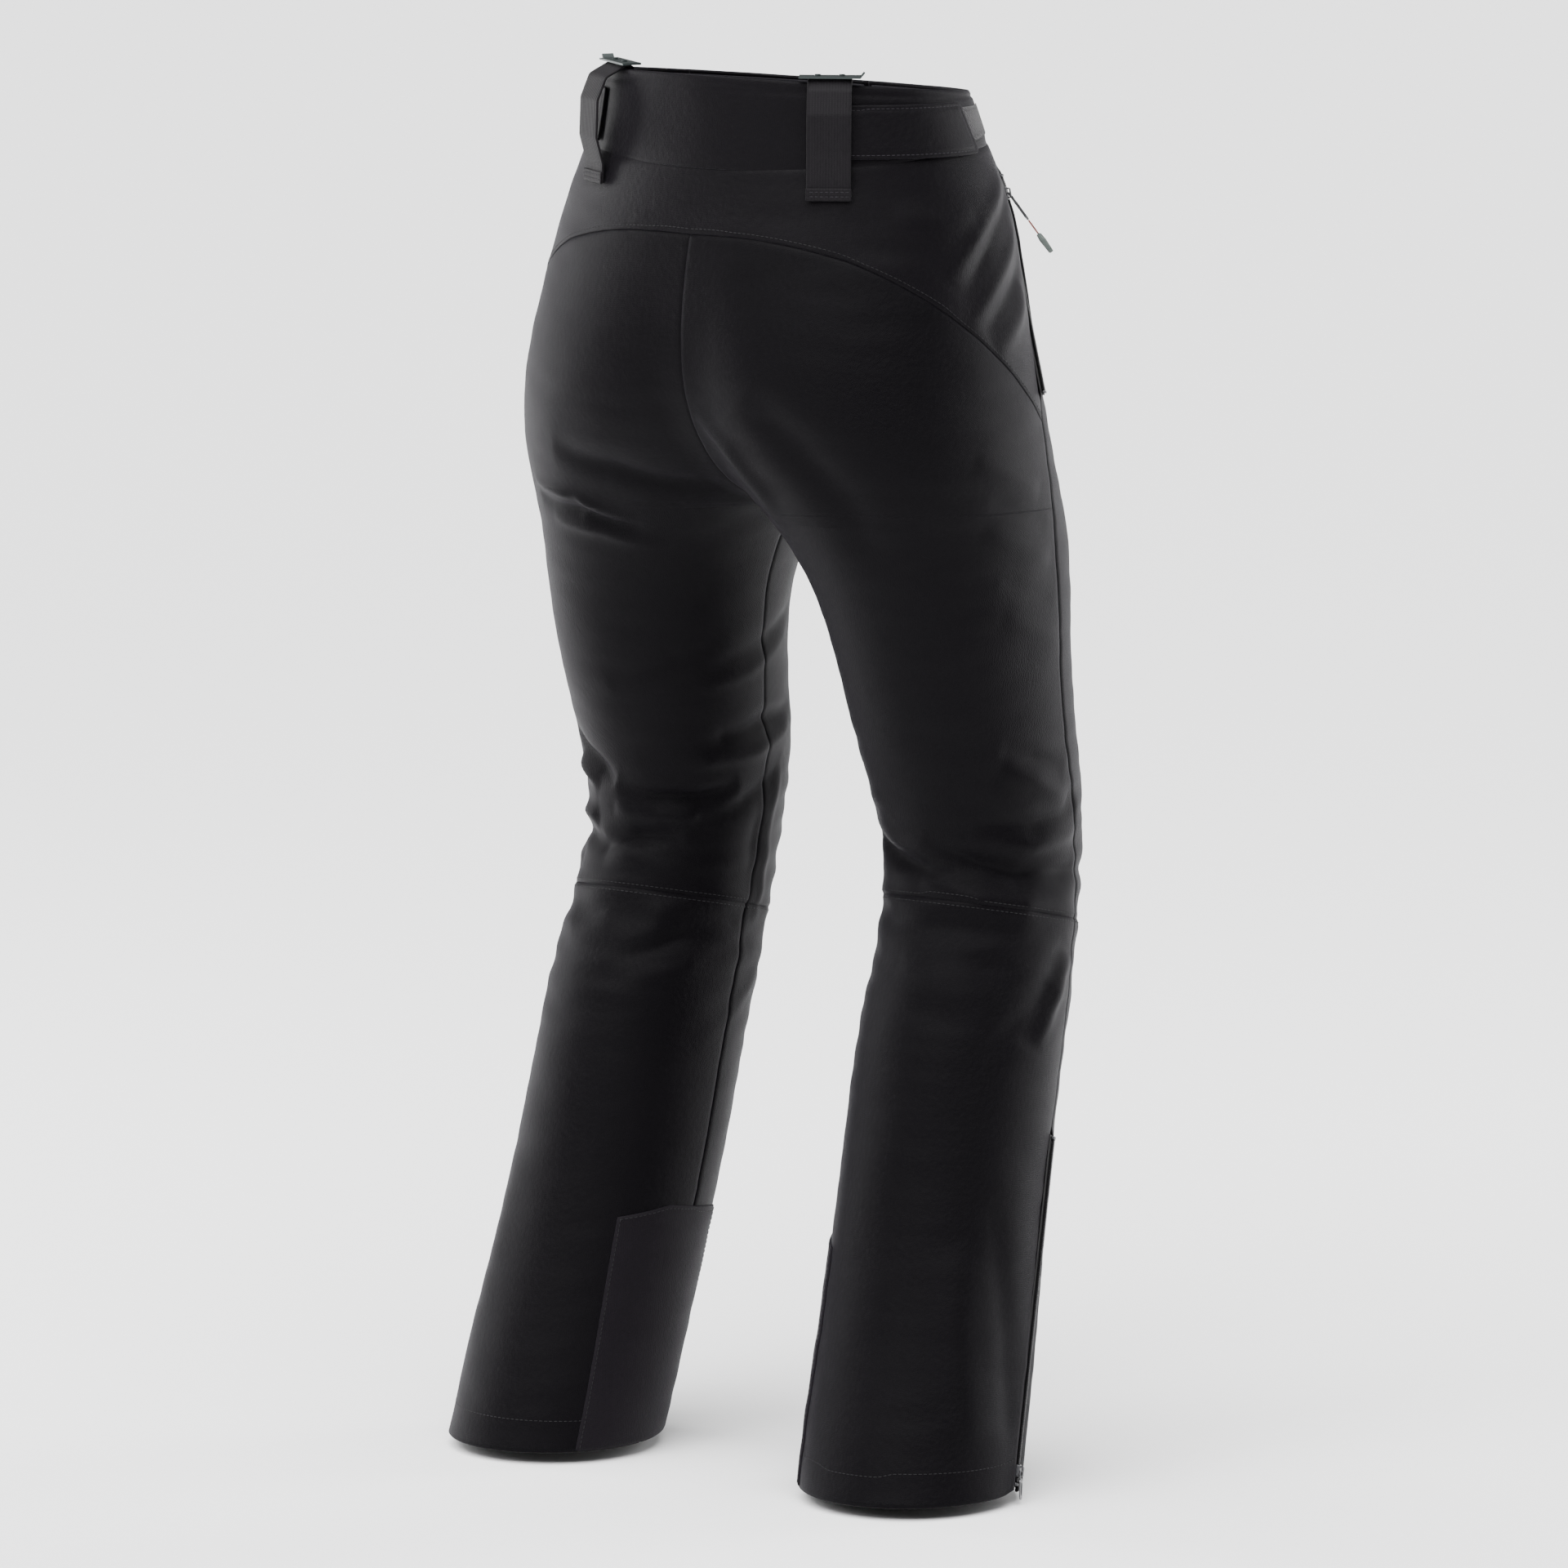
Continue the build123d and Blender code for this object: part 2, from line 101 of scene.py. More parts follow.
def smooth_curve(ts, vs):
    """Natural cubic spline through values at rising ts, as a function."""
    ts = np.array(ts, float)
    vs = np.array(vs, float).reshape(len(ts), -1)
    h = np.diff(ts)
    a = np.eye(len(ts))
    rhs = np.zeros_like(vs)
    for i in range(1, len(ts) - 1):
        a[i, i - 1:i + 2] = (h[i - 1], 2 * (h[i - 1] + h[i]), h[i])
        rhs[i] = 6 * ((vs[i + 1] - vs[i]) / h[i] - (vs[i] - vs[i - 1]) / h[i - 1])
    m = np.linalg.solve(a, rhs)

    def at(t):
        t = np.asarray(t, float)
        i = np.clip(np.searchsorted(ts, t) - 1, 0, len(ts) - 2)
        near = (t - ts[i])[..., None]
        far = (ts[i + 1] - t)[..., None]
        step = h[i][..., None]
        bend = (m[i] * far ** 3 + m[i + 1] * near ** 3) / (6 * step)
        line = (vs[i] / step - m[i] * step / 6) * far + (vs[i + 1] / step - m[i + 1] * step / 6) * near
        return bend + line

    return at


def by_height(levels):
    rows = sorted(levels)
    return smooth_curve([r[0] for r in rows], [r[1:] for r in rows])


body_section = by_height(LEVELS)
waist_section = by_height(WAIST_LEVELS)
side_seam_y = smooth_curve([z for y, z in reversed(SIDE_SEAM)], [y for y, z in reversed(SIDE_SEAM)])


def seam_line(points):
    """Height of a side-view line at each y."""
    return lambda y: np.interp(y, [p[0] for p in points], [p[1] for p in points])


def on_ellipse(section, angle, z):
    """Points and outward normals of a section curve, for the left side."""
    s = section(z)
    cx, cy, a, b = (s[..., k] for k in range(4))
    point = np.stack([cx + a * np.cos(angle), cy + b * np.sin(angle), z + 0 * angle], -1)
    step = 1.0
    up = section(z + step)
    higher = np.stack([up[..., 0] + up[..., 2] * np.cos(angle),
                       up[..., 1] + up[..., 3] * np.sin(angle), z + step + 0 * angle], -1)
    along = np.stack([-a * np.sin(angle), b * np.cos(angle), 0 * angle + 0 * z], -1)
    normal = np.cross(along, higher - point)
    return point, normal / np.linalg.norm(normal, axis=-1, keepdims=True)


def centre_angle(z):
    """Where a section meets the middle plane, or the inseam below the crotch."""
    s = body_section(z)
    return np.arccos(np.clip(-s[..., 0] / s[..., 2], -1, 1))


def angle_at(section, y, z):
    """Angle of the point with a given y on a section's outer half."""
    s = section(z)
    return np.arcsin(np.clip((y - s[..., 1]) / s[..., 3], -1, 1))


def side_angle(z):
    return angle_at(body_section, side_seam_y(z)[..., 0], z)


def column_angle(part, u, z):
    """Angle of a grid column: u is 0 at the centre back or at the side seam, 1 at the other end."""
    if part == "back":
        return centre_angle(z) * (1 - u) + side_angle(z) * u
    return side_angle(z) * (1 - u) - centre_angle(z) * u


def crotch_height():
    zs = np.linspace(-320, -200, 2401)
    s = body_section(zs)
    return float(zs[np.argmin(np.abs(s[:, 0] - s[:, 2]))])


CROTCH = crotch_height()

# --- folds ---

# Each fold: side, half width, height (below 0 is a crease), and a line of points near the cloth.
FOLDS = [
    # tension from the pocket's top across the yoke, and the bulge over the pocket's edge
    ("right", 10, 2.4, [(-160, -52, -38), (-172, -20, -62), (-181, 12, -84), (-176, 44, -112)]),
    ("right", 9, -1.5, [(-164, -54, -54), (-180, -12, -78), (-186, 10, -98), (-182, 38, -128)]),
    ("right", 10, 1.9, [(-176, -52, -76), (-188, -18, -104), (-192, 8, -124), (-190, 34, -148)]),
    ("right", 9, -1.4, [(-182, -52, -104), (-192, -10, -130), (-196, 22, -152)]),
    ("right", 12, 2.2, [(-188, -50, -122), (-195, -24, -146), (-199, 10, -166)]),
    ("right", 12, 0.8, [(-150, 70, -60), (-172, 38, -70), (-178, 8, -68)]),
    # under the left buttock
    ("left", 14, -3.5, [(128, 124, -252), (71, 121, -264), (34, 96, -276), (8, 70, -276)]),
    ("left", 6, 2.2, [(172, 84, -280), (118, 112, -290), (74, 92, -304)]),
    ("left", 6, -2.4, [(166, 86, -294), (112, 104, -302), (68, 84, -314)]),
    ("left", 7, 1.8, [(152, 90, -308), (102, 96, -316), (60, 74, -328)]),
    # the ridge from the seat down to the crotch, and the hollow beside it
    ("right", 11, 3.4, [(-6, 122, -212), (-34, 122, -240), (-58, 108, -270), (-64, 78, -300)]),
    ("right", 24, -4.0, [(-60, 138, -196), (-100, 134, -232), (-134, 112, -276), (-150, 92, -330)]),
    # inner side and back of the left knee
    ("left", 9, -1.3, [(62, 14, -430), (48, -48, -406), (54, -92, -386)]),
    ("left", 8, 1.1, [(72, 34, -446), (50, -24, -434), (52, -84, -404)]),
    ("left", 10, -1.6, [(128, 50, -440), (78, 34, -418), (58, 0, -404)]),
    ("left", 9, -2.9, [(120, 22, -500), (68, -14, -484), (54, -50, -474), (60, -102, -470)]),
    ("left", 8, 2.6, [(132, 22, -506), (76, -6, -502), (58, -50, -496), (60, -98, -482)]),
    ("left", 8, -3.8, [(192, 4, -488), (160, 22, -508), (140, 23, -520)]),
    ("left", 8, 2.8, [(188, 2, -508), (164, 20, -526)]),
    ("left", 9, -4.4, [(140, 20, -522), (108, 14, -532), (80, -6, -532), (66, -34, -524)]),
    ("left", 8, 3.2, [(146, 18, -540), (112, 8, -547), (82, -8, -546)]),
    ("left", 9, -4.8, [(192, -6, -566), (160, 12, -572), (126, 15, -564), (92, 0, -564)]),
    ("left", 8, 2.6, [(190, -6, -548), (168, 12, -552)]),
    ("left", 7, 1.5, [(62, -84, -500), (62, -76, -552), (68, -72, -596), (72, -62, -636)]),
    ("left", 7, -1.2, [(70, -64, -504), (70, -58, -560), (76, -52, -610)]),
    ("left", 8, -1.8, [(96, 2, -560), (66, -44, -536), (60, -90, -512)]),
    # below the left knee seam
    ("left", 9, -2.6, [(136, 44, -660), (94, 18, -640), (76, -34, -634), (78, -84, -640)]),
    ("left", 9, 2.0, [(120, 44, -676), (84, 6, -658), (74, -50, -650)]),
    ("left", 10, 1.1, [(78, 14, -722), (72, -40, -694), (80, -94, -654)]),
    ("left", 12, -1.5, [(180, 24, -632), (146, 30, -616), (104, 18, -620)]),
    # back of the right knee
    ("right", 8, -4.2, [(-76, -16, -546), (-104, 10, -556), (-134, 17, -562), (-166, 13, -562)]),
    ("right", 10, -4.2, [(-140, 18, -536), (-178, 4, -556), (-200, -22, -566), (-208, -84, -566)]),
    ("right", 9, 3.2, [(-136, 16, -570), (-182, 2, -582), (-202, -28, -588), (-208, -84, -586)]),
    ("right", 9, 2.6, [(-172, 8, -532), (-204, -34, -544), (-208, -88, -540)]),
    ("right", 8, -1.8, [(-178, 6, -522), (-206, -36, -528), (-208, -90, -518)]),
    ("right", 10, 2.2, [(-196, -3, -484), (-206, -32, -494), (-208, -72, -514)]),
    ("right", 9, -1.8, [(-196, 0, -468), (-206, -30, -476), (-208, -68, -490)]),
    # outer side of the right shin and thigh
    ("right", 9, 2.0, [(-219, -14, -694), (-218, -44, -658), (-214, -68, -628)]),
    ("right", 10, -1.1, [(-216, 0, -692), (-214, -34, -650), (-210, -64, -616)]),
    ("right", 12, -1.5, [(-198, 38, -704), (-214, -4, -670), (-217, -40, -648)]),
    ("right", 14, 1.3, [(-128, 30, -634), (-168, 27, -640), (-190, 12, -636)]),
    ("right", 12, 1.0, [(-204, 44, -244), (-213, -30, -274)]),
    ("right", 10, -0.7, [(-206, 30, -276), (-213, -40, -300)]),
    ("right", 11, 1.0, [(-206, 34, -300), (-213, -44, -326)]),
    ("right", 10, -0.7, [(-208, 14, -338), (-213, -48, -358)]),
    ("right", 11, 0.9, [(-208, 10, -366), (-212, -60, -392)]),
    # long soft ridges down the right shin, to the hem
    ("right", 22, 2.4, [(-208, 66, -830), (-216, 84, -900), (-230, 92, -990)]),
    ("right", 16, -1.4, [(-218, 40, -800), (-230, 44, -900), (-240, 56, -990)]),
    ("left", 22, 1.8, [(196, 70, -800), (200, 92, -900), (206, 112, -1000)]),
    # the gusset's edge that swells in front of the ankle zip
    ("right", 14, 4.6, [(-224, -60, -800), (-243, 2, -930), (-258, 52, -1090)]),
    # front of the knees and thighs
    ("both", 12, 2.6, [(90, -128, -500), (130, -150, -520), (180, -126, -500)]),
    ("both", 12, -2.4, [(88, -122, -530), (132, -146, -548), (182, -122, -528)]),
    ("both", 12, 2.4, [(92, -128, -640), (140, -132, -660), (190, -112, -640)]),
    ("both", 10, -2.0, [(96, -122, -668), (140, -120, -690), (192, -100, -668)]),
    ("both", 14, 2.2, [(20, -116, -240), (70, -138, -215), (120, -128, -190)]),
    ("both", 12, -2.2, [(20, -110, -262), (74, -136, -240), (128, -124, -214)]),
    # outer side of the left knee
    ("left", 9, -2.6, [(206, -70, -560), (204, -30, -566), (190, 0, -566)]),
    ("left", 9, 2.4, [(206, -80, -584), (206, -36, -588), (192, -6, -588)]),
]
SMOOTH_SCALE = 120
SMOOTH_SEED = 3.1
SMOOTH_HEIGHT = 2.2
CREASE_SCALE = (42, 42, 15)
CREASE_SEED = 7.7
CREASE_HEIGHT = 0.5
KNEE_CREASE = 2.2
KNEE_REACH = 85
FOLD_GAIN = 1.8
FOLD_REACH = 4.5
FOLD_FALL = 0.8
# Folds begin below the waistband's seam and reach their full height a little lower.
FOLDS_BEGIN = -26
FOLDS_GROW = 30
BRIDGED = 0.88
STEEPEST = 0.93
# How far from the middle the seat's crease is bridged: height, reach.
CLEFT_REACH = [(CROTCH, 4), (CROTCH + 25, 16), (-200, 30), (-40, 34)]
MIDDLE = 0.05


def line_distance(points, line):
    """Distance of each point from a polyline, and how far along it the nearest place is, 0 to 1."""
    best, along = np.full(len(points), 1e9), np.zeros(len(points))
    steps = np.linalg.norm(np.diff(line, axis=0), axis=1)
    for k, step in enumerate(steps):
        d = line[k + 1] - line[k]
        t = np.clip((points - line[k]) @ d / (d @ d), 0, 1)
        distance = np.linalg.norm(points - line[k] - t[:, None] * d, axis=1)
        along = np.where(distance < best, (steps[:k].sum() + t * step) / steps.sum(), along)
        best = np.minimum(best, distance)
    return best, along


def noise_at(points, scale, seed):
    scaled = points / np.array(scale, float) + seed
    return np.array([noise.noise(Vector(p)) for p in scaled])


def relief(points, side):
    """How far the cloth stands out from its smooth shape at points on the given side."""
    flat = points.reshape(-1, 3)
    out = SMOOTH_HEIGHT * noise_at(flat, SMOOTH_SCALE, SMOOTH_SEED)
    knee = np.exp(-((flat[:, 2] - KNEE_Z[side]) / KNEE_REACH) ** 2)
    out += (CREASE_HEIGHT + KNEE_CREASE * knee) * noise_at(flat, CREASE_SCALE, CREASE_SEED)
    for where, width, height, line in FOLDS:
        if where not in (side, "both"):
            continue
        line = np.array(line, float)
        if where == "both":
            line = line * (SIDES[side], 1, 1)
        reach = FOLD_REACH * width
        near = np.all((flat > line.min(0) - reach) & (flat < line.max(0) + reach), axis=1)
        distance, along = line_distance(flat[near], line)
        taper = 1 - np.abs(2 * along - 1) ** 3
        out[near] += FOLD_GAIN * height * taper / (1 + FOLD_FALL * (distance / width) ** 2) ** 2
    out *= np.clip((FOLDS_BEGIN - flat[:, 2]) / FOLDS_GROW, 0, 1)
    return out.reshape(points.shape[:-1])


def smooth_cleft(points):
    """Cloth bridging the crease where the two seat halves meet behind."""
    y, z = points[..., 1], points[..., 2]
    s = body_section(z)
    lean = np.clip(s[..., 0] / s[..., 2], 0, STEEPEST)
    slope = s[..., 3] / s[..., 2] * lean / np.sqrt(1 - lean ** 2)
    reach = np.interp(z, *zip(*CLEFT_REACH))
    lift = BRIDGED * slope * reach / 2
    shape = np.clip(1 - np.abs(points[..., 0]) / reach, 0, 1) ** 2
    return np.where((y > 0) & (z > CROTCH), lift * shape, 0)


def to_side(points, side):
    return points * (SIDES[side], 1, 1)


def cloth(side, angle, z, inset=0.0):
    """Points and normals of the folded cloth, moved in by inset."""
    point, normal = on_ellipse(body_section, angle, z)
    # normals on the middle plane are turned into it, so that the two halves meet there
    middle = (np.abs(point[..., :1]) < MIDDLE) & (point[..., 2:] > CROTCH - MIDDLE)
    down = normal[..., 2] - np.abs(normal[..., 0])
    in_plane = np.stack([0 * down, normal[..., 1], down], -1)
    in_plane /= np.linalg.norm(in_plane, axis=-1, keepdims=True)
    normal = np.where(middle, in_plane, normal)
    point, normal = to_side(point, side), to_side(normal, side)
    height = relief(point, side) - inset
    point = point + np.stack([0 * height, smooth_cleft(point), 0 * height], -1)
    return point + normal * height[..., None], normal


# --- the grid of the legs ---

def meet_line(section, find_angle, line, z, rounds):
    """Height at which columns of a section meet a seam drawn from the side, by halfway steps."""
    for _ in range(rounds):
        s = section(z)
        z = 0.5 * z + 0.5 * seam_line(line)(s[..., 1] + s[..., 3] * np.sin(find_angle(z)))
    return z


def solve_height(part, u, line):
    start = np.full(len(u), -100.0)
    return meet_line(body_section, lambda z: column_angle(part, u, z), line, start, 40)


def rows_between(first, last, count, power):
    """Heights from one line to the next, closer together at the end where power is above 1."""
    t = np.linspace(0, 1, count + 1)[:, None]
    t = 1 - (1 - t) ** power
    return first[None] * (1 - t) + last[None] * t


def leg_rows(part, side, u):
    """Heights of every grid row, column by column, with a row on each seam."""
    top = solve_height(part, u, BAND_SEAM) + TUCK
    corner = solve_height("back", np.ones(1), YOKE_SEAM)[0]
    yoke = solve_height(part, u, YOKE_SEAM) if part == "back" else np.full(len(u), corner)
    crotch = np.full(len(u), CROTCH)
    knee_seam = [(y, KNEE_Z[side] + KNEE_SLOPE * (y - KNEE_Y)) for y in (-250, 250)]
    knee = solve_height(part, u, knee_seam)
    hem = np.full(len(u), float(HEM))
    lines = [top, yoke, crotch, knee, hem]
    middle = 1 - u if part == "back" else u
    parts = []
    for k, count in enumerate(ROWS):
        rows = rows_between(lines[k], lines[k + 1], count, 1 + (middle[None] ** 3 if k == 1 else 0))
        parts.append(rows if k == 0 else rows[1:])
    return np.vstack(parts)


SEAM_ROW = dict(zip(("band", "yoke", "crotch", "knee", "hem"), np.cumsum((0,) + ROWS)))


def leg_grid(part, side, thin=1):
    u = np.linspace(0, 1, COLUMNS + 1)[::thin]
    z = leg_rows(part, side, u)
    keep = sorted(set(range(0, len(z), thin)) | set(SEAM_ROW.values()))
    z = z[keep]
    seams = {name: keep.index(row) for name, row in SEAM_ROW.items()}
    angle = column_angle(part, u[None], z)
    return angle, z, seams


def lengths(points, axis):
    step = np.linalg.norm(np.diff(points, axis=axis), axis=-1)
    pad = [(0, 0), (0, 0)]
    pad[axis] = (1, 0)
    return np.pad(np.cumsum(step, axis=axis), pad)


def measured(points, normals):
    """A grid: its points and normals, and lengths across and down it."""
    return points, normals, lengths(points, 1), lengths(points, 0)


def from_edges(across, down):
    """Distance from each edge of a grid."""
    return {"top": down, "bottom": down[-1:] - down, "start": across, "end": across[:, -1:] - across}


def from_rim(grid):
    return np.minimum.reduce(list(from_edges(*grid[2:]).values()))


def run_along(line):
    """Length along a line at each of its points."""
    return np.r_[0, np.cumsum(np.linalg.norm(np.diff(line, axis=0), axis=1))]


def groove(distance, depth, width):
    return -depth * np.exp(-(distance / width) ** 2)


def zip_frame(line, side):
    start, end, out = (to_side(np.array(v, float), side) for v in line)
    along = end - start
    length = np.linalg.norm(along)
    along /= length
    out = out - along * (out @ along)
    out /= np.linalg.norm(out)
    return start, along, np.cross(out, along), out, length


ZIPS = {"pocket": POCKET_ZIP, "ankle": ANKLE_ZIP, "fly": FLY_ZIP}
SLOT_HALF = {"pocket": 4.8, "ankle": 5.0, "fly": 4.6}
SLOT_FADE = 14
# A slot opens over this length before its chain, and closes again just past its end.
SLOT_LEAD = 6
SLOT_PAST = 5
SLOT_CLOSE = 8
LIP_HEIGHT = 0.7
LIP_WIDTH = 3.2


def part_for_zip(points, column, distance, name, side, wider=0.0):
    """Draws the cloth aside along a zip that runs in the seam at the cloth's edge."""
    start, along, across, out, length = zip_frame(ZIPS[name], side)
    edge = points[:, column] - start
    t = edge @ along
    open_here = np.clip((t + SLOT_LEAD) / SLOT_LEAD, 0, 1)
    if name != "ankle":
        open_here = open_here * np.clip((length + SLOT_PAST - t) / SLOT_CLOSE, 0, 1)
    offset = edge @ across
    inner = points[:, -12 if column else min(12, points.shape[1] - 1)]
    way = np.sign(((inner - points[:, column]) @ across).mean())
    shift = way * (SLOT_HALF[name] + wider) - offset
    move = (open_here * shift)[:, None] * np.exp(-(distance / SLOT_FADE) ** 2)
    lip = open_here[:, None] * np.exp(-(distance / LIP_WIDTH) ** 2)
    return points + move[..., None] * across + (LIP_HEIGHT * lip)[..., None] * out


def panel_points(part, side, first, last, inset=0.0, seams=(), thin=1, wider=0.0):
    """One panel's grid, with its seams pressed in and zips parted."""
    angle, z, rows = leg_grid(part, side, thin)
    cut = slice(rows[first], rows[last] + 1)
    points, normals, across, down = measured(*cloth(side, angle[cut], z[cut], inset))
    edges = from_edges(across, down)
    for edge, depth, width in seams:
        points = points + normals * groove(edges[edge], depth, width)[..., None]
    seam, column = ("end", -1) if part == "back" else ("start", 0)
    for name in ("pocket", "ankle"):
        points = part_for_zip(points, column, edges[seam], name, side, wider)
    if part == "front":
        points = part_for_zip(points, -1, edges["end"], "fly", side, wider)
    return points, normals, across, down


# --- meshes ---

def make_object(name, vertices, faces, material, uv):
    mesh = bpy.data.meshes.new(name)
    mesh.from_pydata((np.asarray(vertices, float) * MM).tolist(), [], faces)
    layer = mesh.uv_layers.new(name="UVMap")
    corner = np.zeros(len(mesh.loops), np.int32)
    mesh.loops.foreach_get("vertex_index", corner)
    layer.data.foreach_set("uv", (np.asarray(uv, float) * MM)[corner].astype(np.float32).ravel())
    mesh.polygons.foreach_set("use_smooth", [True] * len(mesh.polygons))
    mesh.materials.append(material)
    mesh.validate()
    mesh.update()
    return add_object(name, mesh)


def add_object(name, data):
    obj = bpy.data.objects.new(name, data)
    bpy.context.scene.collection.objects.link(obj)
    return obj


def grid_faces(rows, columns, wrap=False):
    i, j = np.meshgrid(np.arange(rows - 1), np.arange(columns if wrap else columns - 1), indexing="ij")
    k = (j + 1) % columns
    quads = np.stack([i * columns + j, i * columns + k, (i + 1) * columns + k, (i + 1) * columns + j], -1)
    return quads.reshape(-1, 4)


def tube_faces(rings, around, flip=False):
    """Faces of a closed tube of rings, with a cap at each end."""
    caps = [list(range(around))[::-1], list(range((rings - 1) * around, rings * around))]
    faces = grid_faces(rings, around, wrap=True).tolist() + caps
    return [face[::-1] for face in faces] if flip else faces


class Shell:
    """Collects closed thin sheets into one mesh."""

    def __init__(self):
        self.vertices, self.faces, self.uv, self.count = [], [], [], 0

    def sheet(self, grid, thickness):
        """A grid with thickness, its rim closed and slightly rounded."""
        outer, normals, across, down = grid
        rows, columns = outer.shape[:2]
        inner = outer - normals * thickness
        index = np.arange(rows * columns).reshape(rows, columns)
        rim = np.concatenate([index[0, :-1], index[:-1, -1], index[-1, :0:-1], index[:0:-1, 0]])
        nearer = index.copy()
        nearer[0] = index[1]
        nearer[-1] = index[-2]
        nearer[:, 0] = nearer[:, 1]
        nearer[:, -1] = nearer[:, -2]
        centre = ((outer + inner) / 2).reshape(-1, 3)
        away = centre[rim] - centre[nearer.ravel()[rim]]
        size = np.linalg.norm(away, axis=1, keepdims=True)
        middle = centre[rim] + away / np.maximum(size, 1e-6) * np.minimum(size, thickness * RIM_ROUND)
        total = rows * columns
        flat_uv = np.stack([across, down], -1).reshape(-1, 2)
        self.vertices += [outer.reshape(-1, 3), inner.reshape(-1, 3), middle]
        self.uv += [flat_uv, flat_uv, flat_uv[rim]]
        quads = grid_faces(rows, columns)
        edge_mid = 2 * total + np.arange(len(rim))
        next_mid = np.roll(edge_mid, -1)
        after = np.roll(rim, -1)
        outside = np.stack([after, rim, edge_mid, next_mid], -1)
        inside = np.stack([next_mid, edge_mid, total + rim, total + after], -1)
        facing = np.vstack([quads, quads[:, ::-1] + total, outside, inside])
        if np.cross(outer[0, 1] - outer[0, 0], outer[1, 0] - outer[0, 0]) @ normals[0, 0] < 0:
            facing = facing[:, ::-1]
        self.faces += (facing + self.count).tolist()
        self.count += 2 * total + len(rim)

    def object(self, name, material):
        return make_object(name, np.vstack(self.vertices), self.faces, material, np.vstack(self.uv))


def shell_object(name, grids, thickness, material):
    shell = Shell()
    for grid in grids:
        shell.sheet(grid, thickness)
    return shell.object(name, material)


# --- materials ---

class Graph:
    """Small helper for node materials."""

    def __init__(self, name):
        self.material = bpy.data.materials.new(name)
        self.material.use_nodes = True
        self.tree = self.material.node_tree

    def fill(self, node, inputs):
        """Links or sets inputs, given by position or by name with _ for a space."""
        for key, value in inputs.items():
            socket = node.inputs[key.replace("_", " ") if isinstance(key, str) else key]
            if isinstance(value, bpy.types.NodeSocket):
                self.tree.links.new(value, socket)
            else:
                socket.default_value = value
        return node

    def node(self, kind, **inputs):
        return self.fill(self.tree.nodes.new(kind), inputs)

    def shade(self, **inputs):
        self.fill(self.tree.nodes["Principled BSDF"], inputs)
        return self.material

    def place(self):
        return self.node("ShaderNodeTexCoord").outputs["Object"]

    def cloth_uv(self):
        n = self.node("ShaderNodeUVMap")
        n.uv_map = "UVMap"
        return n.outputs[0]

    def math(self, operation, a, b=0.0):
        n = self.node("ShaderNodeMath")
        n.operation = operation
        return self.fill(n, {0: a, 1: b}).outputs[0]

    def add(self, a, b):
        return self.math("ADD", a, b)

    def times(self, a, b):
        return self.math("MULTIPLY", a, b)

    def noise(self, vector, scale, detail=3.0, rough=0.55):
        n = self.node("ShaderNodeTexNoise", Vector=vector, Scale=scale, Detail=detail, Roughness=rough)
        return n.outputs["Fac"]

    def stretched(self, vector, scale):
        return self.node("ShaderNodeMapping", Vector=vector, Scale=scale).outputs[0]

    def between(self, factor, low, high, start=0.0, stop=1.0):
        n = self.node("ShaderNodeMapRange", Value=factor, From_Min=start, From_Max=stop)
        return self.fill(n, {"To Min": low, "To Max": high}).outputs[0]

    def tint(self, factor, dark, light):
        n = self.tree.nodes.new("ShaderNodeMix")
        n.data_type = "RGBA"
        return self.fill(n, {"Factor": factor, "A": (*dark, 1), "B": (*light, 1)}).outputs["Result"]

    def bump(self, height, distance, strength=1.0, **below):
        n = self.node("ShaderNodeBump", Height=height, Distance=distance, Strength=strength, **below)
        return n.outputs["Normal"]


def fabric(name, dark, light, rough=0.5, sheen=0.03, pitch=0.0011, twill=0.5, relief_depth=0.00005,
           gloss=0.05):
    """Woven cloth: threads, uneven dye, faint streaks along the warp, and a soft sheen."""
    g = Graph(name)
    uv = g.cloth_uv()
    place = g.place()
    cloudy = g.noise(place, 9.0, 4.0)
    # the threads wander by a share of their pitch
    slack = g.times(g.math("SUBTRACT", g.noise(place, 260.0, 2.0), 0.5), 2.5 * pitch)
    yarn = g.node("ShaderNodeVectorMath")
    g.fill(yarn, {0: uv, 1: slack})
    parts = g.node("ShaderNodeSeparateXYZ", Vector=yarn.outputs[0])
    x = g.times(parts.outputs[0], 2 * math.pi / pitch)
    y = g.times(parts.outputs[1], 2 * math.pi / pitch)
    over = g.math("SINE", g.add(x, g.times(y, twill)))
    threads = g.add(over, g.times(g.math("SINE", y), 0.6))
    specks = g.noise(g.stretched(uv, (900, 900, 1)), 1.0, 2.0)
    warp = g.noise(g.stretched(uv, (700, 12, 1)), 1.0, 2.0)
    tone = g.add(g.times(cloudy, 0.55), g.times(specks, 0.45))
    tone = g.add(tone, g.times(g.math("SUBTRACT", warp, 0.5), 0.4))
    tone = g.add(tone, g.times(threads, 0.05))
    patchy = g.add(cloudy, g.times(specks, 0.3))
    soft = g.bump(g.noise(place, 55.0, 3.0), 0.0006, 0.35)
    return g.shade(Base_Color=g.tint(tone, dark, light), Specular_IOR_Level=gloss,
                   Roughness=g.between(patchy, rough - 0.08, rough + 0.08), Sheen_Weight=sheen,
                   Sheen_Roughness=0.45, Sheen_Tint=(0.92, 0.86, 1.0, 1),
                   Normal=g.bump(threads, relief_depth, 0.8, Normal=soft))


